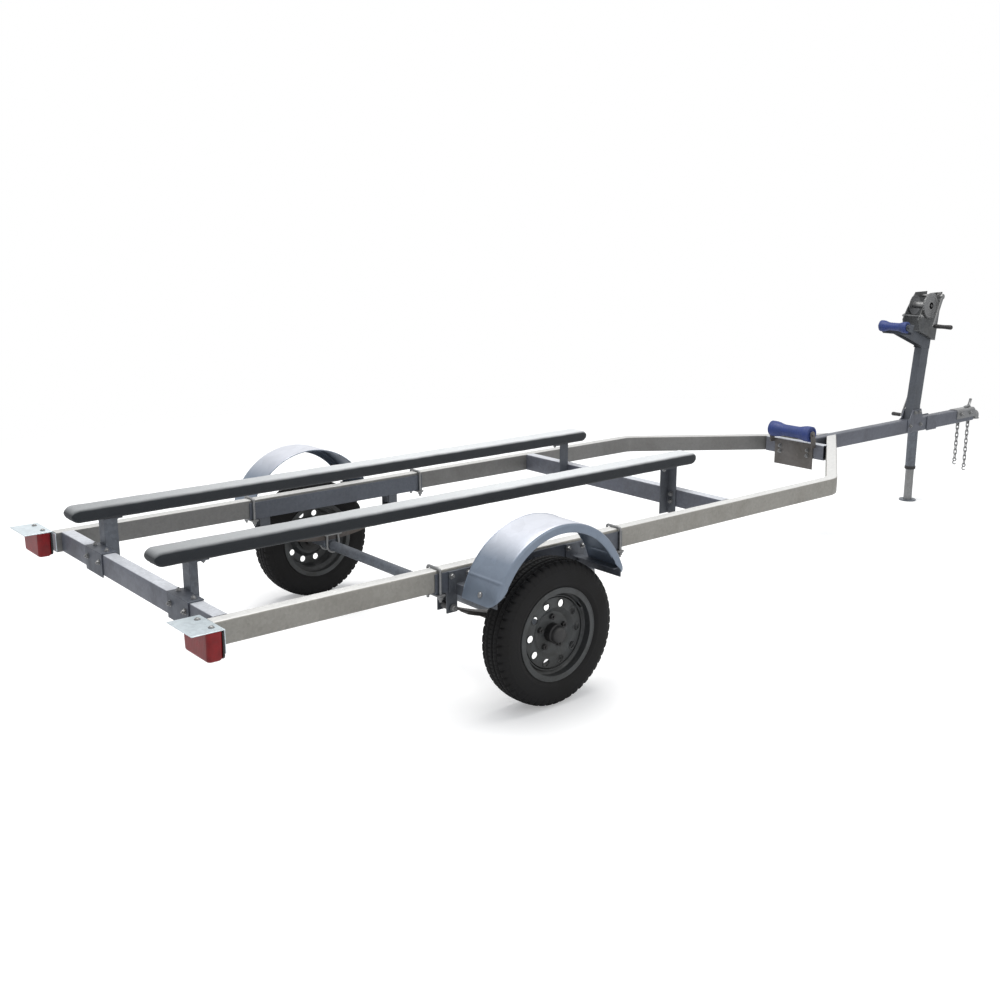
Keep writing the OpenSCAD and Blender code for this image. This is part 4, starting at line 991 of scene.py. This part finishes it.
def makeCoupler():
    low, high = box("coupler")
    end = box("tongue")[1][0]
    ballX, ballZ = high[0] - 0.0337, low[2] + 0.024
    top = high[2]
    # along s the channel's half width and its top follow smooth steps towards the dome
    s = np.linspace(0, 1, 60)
    x = low[0] + s * (ballX - 0.004 - low[0])
    past = np.clip((x - end) / (ballX - 0.01 - end), 0, 1)
    ease = past * past * (3 - 2 * past)
    half = 0.0290 * (1 - ease) + 0.0245 * ease
    crown = top * (1 - ease) + (ballZ + 0.024) * ease
    skirt = (top - 0.056) * (1 - ease) + (ballZ - 0.020) * ease
    across = np.linspace(0, 1, 41)
    # section: up one side, round the shoulder, over the crown and down the other side
    corner = 0.012
    grids = []
    for inset in (0.0, 0.0038):
        h, c = (half - inset)[:, None], (crown - inset)[:, None]
        rad = corner - inset * 0.5
        sideRun = c - rad - skirt[:, None]
        total = 2 * sideRun + math.pi * rad + 2 * (h - rad)
        at = across[None, :] * total
        b1, b2 = sideRun, sideRun + math.pi / 2 * rad
        b3, b4 = b2 + 2 * (h - rad), b2 + 2 * (h - rad) + math.pi / 2 * rad
        first, second = np.clip((at - b1) / rad, 0, math.pi / 2), np.clip((at - b3) / rad, 0, math.pi / 2)
        y = h - rad + rad * np.cos(first) - np.clip(at - b2, 0, 2 * (h - rad)) - rad * np.sin(second)
        z = skirt[:, None] + np.minimum(at, b1) + rad * np.sin(first) - rad * (1 - np.cos(second)) - np.clip(
            at - b4, 0, None)
        grids.append(np.stack([np.repeat(x[:, None], 41, 1), y, z], -1))
    channel = thickSheet(grids[0], grids[1])
    # ball dome: a half sphere outside and in, with a turned-out lip below
    tilt = np.linspace(0, math.pi / 2 * 0.985, 14)
    outside = [(0.0297 * math.cos(t), 0.0297 * math.sin(t)) for t in tilt]
    inside = [(0.0257 * math.cos(t), 0.0257 * math.sin(t)) for t in tilt[::-1]]
    profile = [(0.0257, -0.024), (0.0315, -0.024), (0.0335, -0.0225), (0.0335, -0.0205), (0.0310, -0.019),
               (0.0297, -0.016)] + outside + inside
    dome = turned(profile, (ballX, 0, ballZ), "z", 72)
    newPiece("coupler_body", joined([channel, dome]), brightZinc, "frame", smooth=42, replaces=["coupler"])
    # latch: a bent strip that rises from its pin, its finger tab, and the adjusting nut on top
    lo, hi = box("coupler_latch")
    line = np.array([[lo[0] + 0.002, 0, lo[2] + 0.005], [lo[0] + 0.030, 0, lo[2] + 0.007],
                     [lo[0] + 0.046, 0, lo[2] + 0.012], [hi[0] - 0.013, 0, lo[2] + 0.028],
                     [hi[0] - 0.007, 0, hi[2] - 0.006], [hi[0] - 0.006, 0, hi[2] - 0.002]])
    strip = rodAlong(smoothLoop(line, 2, False), roundedBox(0.0175, 0.0035, 0.0012, 3), up=(0, 0, 1))
    pin = turned([(0.0045, -0.0090), (0.0045, 0.0090)], (lo[0] + 0.018, 0, lo[2] + 0.0055), "y", 20, False)
    nut = hexBolt((lo[0] + 0.046, 0, lo[2] + 0.002), (0, 0, 1), 0.0085)
    knob = turned([(0.003, 0.0), (0.0062, 0.001), (0.0075, 0.004), (0.0062, 0.0075), (0.003, 0.0085)],
                  (hi[0] - 0.0078, 0, hi[2] - 0.0086), "z", 24, False)
    newPiece("coupler_latch_lever", joined([strip, pin, nut, knob]), brightZinc, "frame", smooth=45,
             replaces=["coupler_latch"])
    bolts = [hexBolt((end - d, s * 0.029, top - 0.030), (0, s, 0), 0.0085) for d in (0.045, 0.145) for s in (-1, 1)]
    newPiece("coupler_bolts", joined(bolts), brightZinc, "frame")


makeCoupler()
print("coupler and chains made")


# what ties the axle: round U bolts over the rails and carriers with their clamp plates

def makeCarrierBolts():
    low, high = box("carrier_bolts")
    half = box("left_rail")[1][1]
    mid, carrierLow = half - 0.025, box("left_axle_carrier")[0][2]
    parts = []
    for side in (-1, 1):
        for x in (low[0] + 0.011, high[0] - 0.011):
            reach, top, foot, r = 0.0355, high[2] - 0.005, low[2], 0.009
            turn = np.linspace(0, math.pi / 2, 7)
            line = np.concatenate([
                [[-reach, foot]], np.stack([-reach + r * (1 - np.cos(turn)), top - r + r * np.sin(turn)], 1),
                np.stack([reach - r + r * np.sin(turn), top - r + r * np.cos(turn)], 1), [[reach, foot]]])
            path = np.stack([np.full(len(line), x), side * mid + line[:, 0], line[:, 1]], 1)
            parts.append(rodAlong(path, circleLoop(0.0048, 14), up=(1, 0, 0)))
            plateLine = [(x, side * mid - 0.043, carrierLow - 0.0035), (x, side * mid + 0.043, carrierLow - 0.0035)]
            parts.append(rodAlong(plateLine, roundedBox(0.030, 0.0068, 0.002, 3)))
            for s in (-1, 1):
                parts.append(hexBolt((x, side * mid + s * reach, carrierLow - 0.007), (0, 0, -1), 0.0082))
    newPiece("carrier_u_bolts", joined(parts), brightZinc, "frame", smooth=45, replaces=["carrier_bolts"])


makeCarrierBolts()
plainNodes = {"axle": bracketZinc, "left_leaf_spring": springSteel, "right_leaf_spring": springSteel,
              "axle_ties": brightZinc, "jack_tube": bracketZinc, "jack_leg": brightZinc, "jack_foot": bracketZinc}
for plainNode, plainMat in plainNodes.items():
    finishNode(plainNode, plainMat)


# bolts, each a place, the way it faces and half its width across flats

def makeBolts():
    railHalf = box("left_rail")[1][1]
    rearX, midX = box("rear_crossmember")[0][0], box("middle_crossmember")[0][0]
    frontX, top, lowZ = box("front_crossmember")[0][0], box("left_rail")[1][2], box("left_rail")[0][2]
    spots = []
    for y in (-0.385, 0.295):
        for dy in (-0.052, 0.052):
            spots.append(((rearX - 0.005, y + dy, lowZ + 0.046), (-1, 0, 0), 0.0070))
            spots.append(((rearX + 0.025, y + dy, top + 0.005), (0, 0, 1), 0.0062))
    for side in (-1, 1):
        for x, face in ((rearX + 0.055, 1), (midX - 0.005, -1)):
            for z in (lowZ + 0.022, lowZ + 0.054):
                spots.append(((x, side * 0.340, z), (face, 0, 0), 0.008))
        # lag screws up into the bunks
        for x in (rearX + 0.108, midX - 0.058):
            spots.append(((x, side * 0.345, box("left_bunk")[0][2] - 0.005), (0, 0, -1), 0.0065))
    for y in (-0.085, 0.085):
        spots.append(((frontX - 0.005, y, top - 0.036), (-1, 0, 0), 0.0075))
        spots.append(((frontX - 0.005, y, lowZ + 0.012), (-1, 0, 0), 0.0075))
    low, high = box("post_base")
    for side in (-1, 1):
        for dx, dz in ((-0.052, 0.034), (0.052, 0.034), (-0.010, 0.106), (0.030, 0.106)):
            spots.append((((low[0] + high[0]) / 2 + dx, side * high[1], low[2] + dz), (0, side, 0), 0.0078))
    for word, side in (("left", 1), ("right", -1)):
        lo, hi = box(word + "_leaf_spring")
        mid = (lo[1] + hi[1]) / 2
        for x in (lo[0] + 0.013, hi[0] - 0.013):
            for s in (-1, 1):
                spots.append(((x, mid + s * 0.033, hi[2] - 0.013), (0, s, 0), 0.0085))
        # arm feet on the carrier
        lo, hi = box("fender_arms")
        for x in (lo[0] + 0.010, lo[0] + 0.080, hi[0] - 0.080, hi[0] - 0.010):
            spots.append(((x, side * (railHalf + 0.010), lowZ + 0.050), (0, side, 0), 0.0072))
    lo, hi = box("axle_ties")
    for side in (-1, 1):
        for x in (-0.0273, 0.0273):
            for y in (-0.028, 0.028):
                spot = ((lo[0] + hi[0]) / 2 + x, side * (railHalf - 0.025) + y, hi[2] - 0.014)
                spots.append((spot, (0, 0, 1), 0.0072))
    newPiece("frame_bolts", joined([hexBolt(*spot) for spot in spots]), brightZinc, "frame", smooth=35)
    # round-headed screws in the light plates
    top = box("light_brackets")[1][2]
    screws = []
    for name in ("left_tail_light", "right_tail_light"):
        lo, hi = box(name)
        for dy in (-0.045, 0.045):
            screws.append(hexBolt((hi[0] - 0.022, (lo[1] + hi[1]) / 2 + dy, top), (0, 0, 1), 0.0065, True, True))
    newPiece("light_plate_screws", joined(screws), brightZinc, "frame")


makeBolts()


def makeFenderBolts():
    spots = []
    for name in ("right_fender", "left_fender"):
        lo, hi = box(name)
        y = (lo[1] + hi[1]) / 2
        for x, out in ((lo[0], -1), (hi[0], 1)):
            spots.append(hexBolt((x - out * 0.0085, y, lo[2] + 0.030), (out * 0.95, 0, 0.31), 0.0075, True, True))
    newPiece("fender_bolts", joined(spots), brightZinc, "frame")


makeFenderBolts()


# jack: the crank's arm and grip, a cap on the gear head and a collar at the tube's foot

jackSet = {"crankLen": 0.160, "crankTurn": 28.0}


def makeJackDetails():
    low, high = box("jack_handle")
    x = (box("jack_leg")[0][0] + box("jack_leg")[1][0]) / 2
    headZ = box("jack_tube")[1][2] - 0.038
    t = math.radians(jackSet["crankTurn"])
    down = np.array([-math.sin(t), 0, -math.cos(t)])
    armY = high[1] - 0.0635
    hub = np.array([x, armY, headZ])
    grip = hub + jackSet["crankLen"] * down
    arm = rodAlong(np.array([hub - 0.010 * down, hub + 0.03 * down, hub + 0.12 * down, grip + 0.006 * down]),
                   roundedBox(0.0048, 0.016, 0.0018, 4), up=(math.cos(t), 0, -math.sin(t)))
    shaft = turned([(0.0068, low[1]), (0.0068, armY + 0.0035)], (x, 0, headZ), "y", 24, False)
    newPiece("jack_crank_arm", joined([arm, shaft]), brightZinc, "jack_crank", replaces=["jack_handle"])
    knob = smoothLoop([(0.0050, armY + 0.002), (0.0085, armY + 0.006), (0.0110, armY + 0.012), (0.0100, armY + 0.030),
                       (0.0116, armY + 0.052), (0.0100, high[1] - 0.002), (0.0030, high[1])], 2, False)
    newPiece("jack_crank_grip", turned(knob, (grip[0], 0, grip[2]), "y", 36, False), gripBlack, "jack_crank")
    lo, hi = box("jack_tube")
    centreY = (box("jack_leg")[0][1] + box("jack_leg")[1][1]) / 2
    # square cap over the gear head, narrow enough for the crank's arm to pass
    capLine = [(x, centreY, hi[2] - 0.019), (x, centreY, hi[2] + 0.0010)]
    cap = rodAlong(capLine, roundedBox(0.0504, 0.0504, 0.004), up=(0, 1, 0))
    collar = [(0.0287, lo[2] + 0.0002), (0.0312, lo[2] + 0.002), (0.0312, lo[2] + 0.018), (0.0287, lo[2] + 0.020)]
    ring = turned(collar, (x, centreY, 0), "z", 48)
    newPiece("jack_cap", joined([cap, ring]), gripBlack, "jack", bevel=0.0012)


makeJackDetails()
print("bolts and jack made")


# floor, lights and the white surround

def makeStage():
    mat = bpy.data.materials.new("paleFloor")
    mat.use_nodes = True
    tree = mat.node_tree
    shader = tree.nodes["Principled BSDF"]
    shader.inputs["Base Color"].default_value = (0.86, 0.86, 0.86, 1)
    shader.inputs["Roughness"].default_value = 1.0
    shader.inputs["Specular IOR Level"].default_value = 0.0
    path = tree.nodes.new("ShaderNodeLightPath")
    glow = tree.nodes.new("ShaderNodeEmission")
    seen = path.outputs["Is Camera Ray"]
    tree.links.new(combined(tree, "MULTIPLY", seen, 0.30), glow.inputs["Strength"])
    both = tree.nodes.new("ShaderNodeAddShader")
    tree.links.new(shader.outputs[0], both.inputs[0])
    tree.links.new(glow.outputs[0], both.inputs[1])
    # far from the trailer the camera sees through the floor to the white surround
    far = tree.nodes.new("ShaderNodeVectorMath")
    far.operation = "LENGTH"
    tree.links.new(objectSpace(tree), far.inputs[0])
    unseen = combined(tree, "MULTIPLY", ramp(tree, far.outputs["Value"], 3.2, 5.6), seen)
    clear = tree.nodes.new("ShaderNodeBsdfTransparent")
    faded = tree.nodes.new("ShaderNodeMixShader")
    tree.links.new(unseen, faded.inputs[0])
    tree.links.new(both.outputs[0], faded.inputs[1])
    tree.links.new(clear.outputs[0], faded.inputs[2])
    tree.links.new(faded.outputs[0], tree.nodes["Material Output"].inputs["Surface"])
    mesh = bpy.data.meshes.new("studioFloor")
    r, low = 60.0, -0.0006
    mesh.from_pydata([(-r, -r, low), (r, -r, low), (r, r, low), (-r, r, low)], [], [(0, 1, 2, 3)])
    mesh.materials.append(mat)
    floor = bpy.data.objects.new("studioFloor", mesh)
    scene.collection.objects.link(floor)

    world = bpy.data.worlds.new("studioWorld")
    scene.world = world
    world.use_nodes = True
    wt = world.node_tree
    soft = wt.nodes["Background"]
    soft.inputs["Color"].default_value = (0.90, 0.94, 1.0, 1)
    soft.inputs["Strength"].default_value = 0.50
    white = wt.nodes.new("ShaderNodeBackground")
    white.inputs["Color"].default_value = (1, 1, 1, 1)
    white.inputs["Strength"].default_value = 1.0
    wp = wt.nodes.new("ShaderNodeLightPath")
    share = wp.outputs["Is Camera Ray"]
    for way in ("Is Glossy Ray", "Is Transmission Ray"):
        share = combined(wt, "MAXIMUM", share, wp.outputs[way])
    pick = wt.nodes.new("ShaderNodeMixShader")
    wt.links.new(share, pick.inputs[0])
    wt.links.new(soft.outputs[0], pick.inputs[1])
    wt.links.new(white.outputs[0], pick.inputs[2])
    wt.links.new(pick.outputs[0], wt.nodes["World Output"].inputs["Surface"])

    for name, place, size, power, tint in (
            ("overheadLight", (-1.0, 0.6, 7.0), 6.0, 520, (1.0, 0.98, 0.95)),
            ("sideLight", (1.5, -7.0, 3.2), 3.5, 95, (1.0, 0.96, 0.90))):
        data = bpy.data.lights.new(name, "AREA")
        data.size, data.energy, data.color = size, power, tint
        lamp = bpy.data.objects.new(name, data)
        lamp.location = place
        aim = np.array([0.0, 0.0, 0.4]) - np.array(place)
        flat = math.hypot(aim[0], aim[1])
        lamp.rotation_euler = (math.atan2(flat, -aim[2]), 0, math.atan2(aim[1], aim[0]) - math.pi / 2)
        scene.collection.objects.link(lamp)
    scene.view_settings.view_transform = "Standard"


makeStage()
print("stage set")
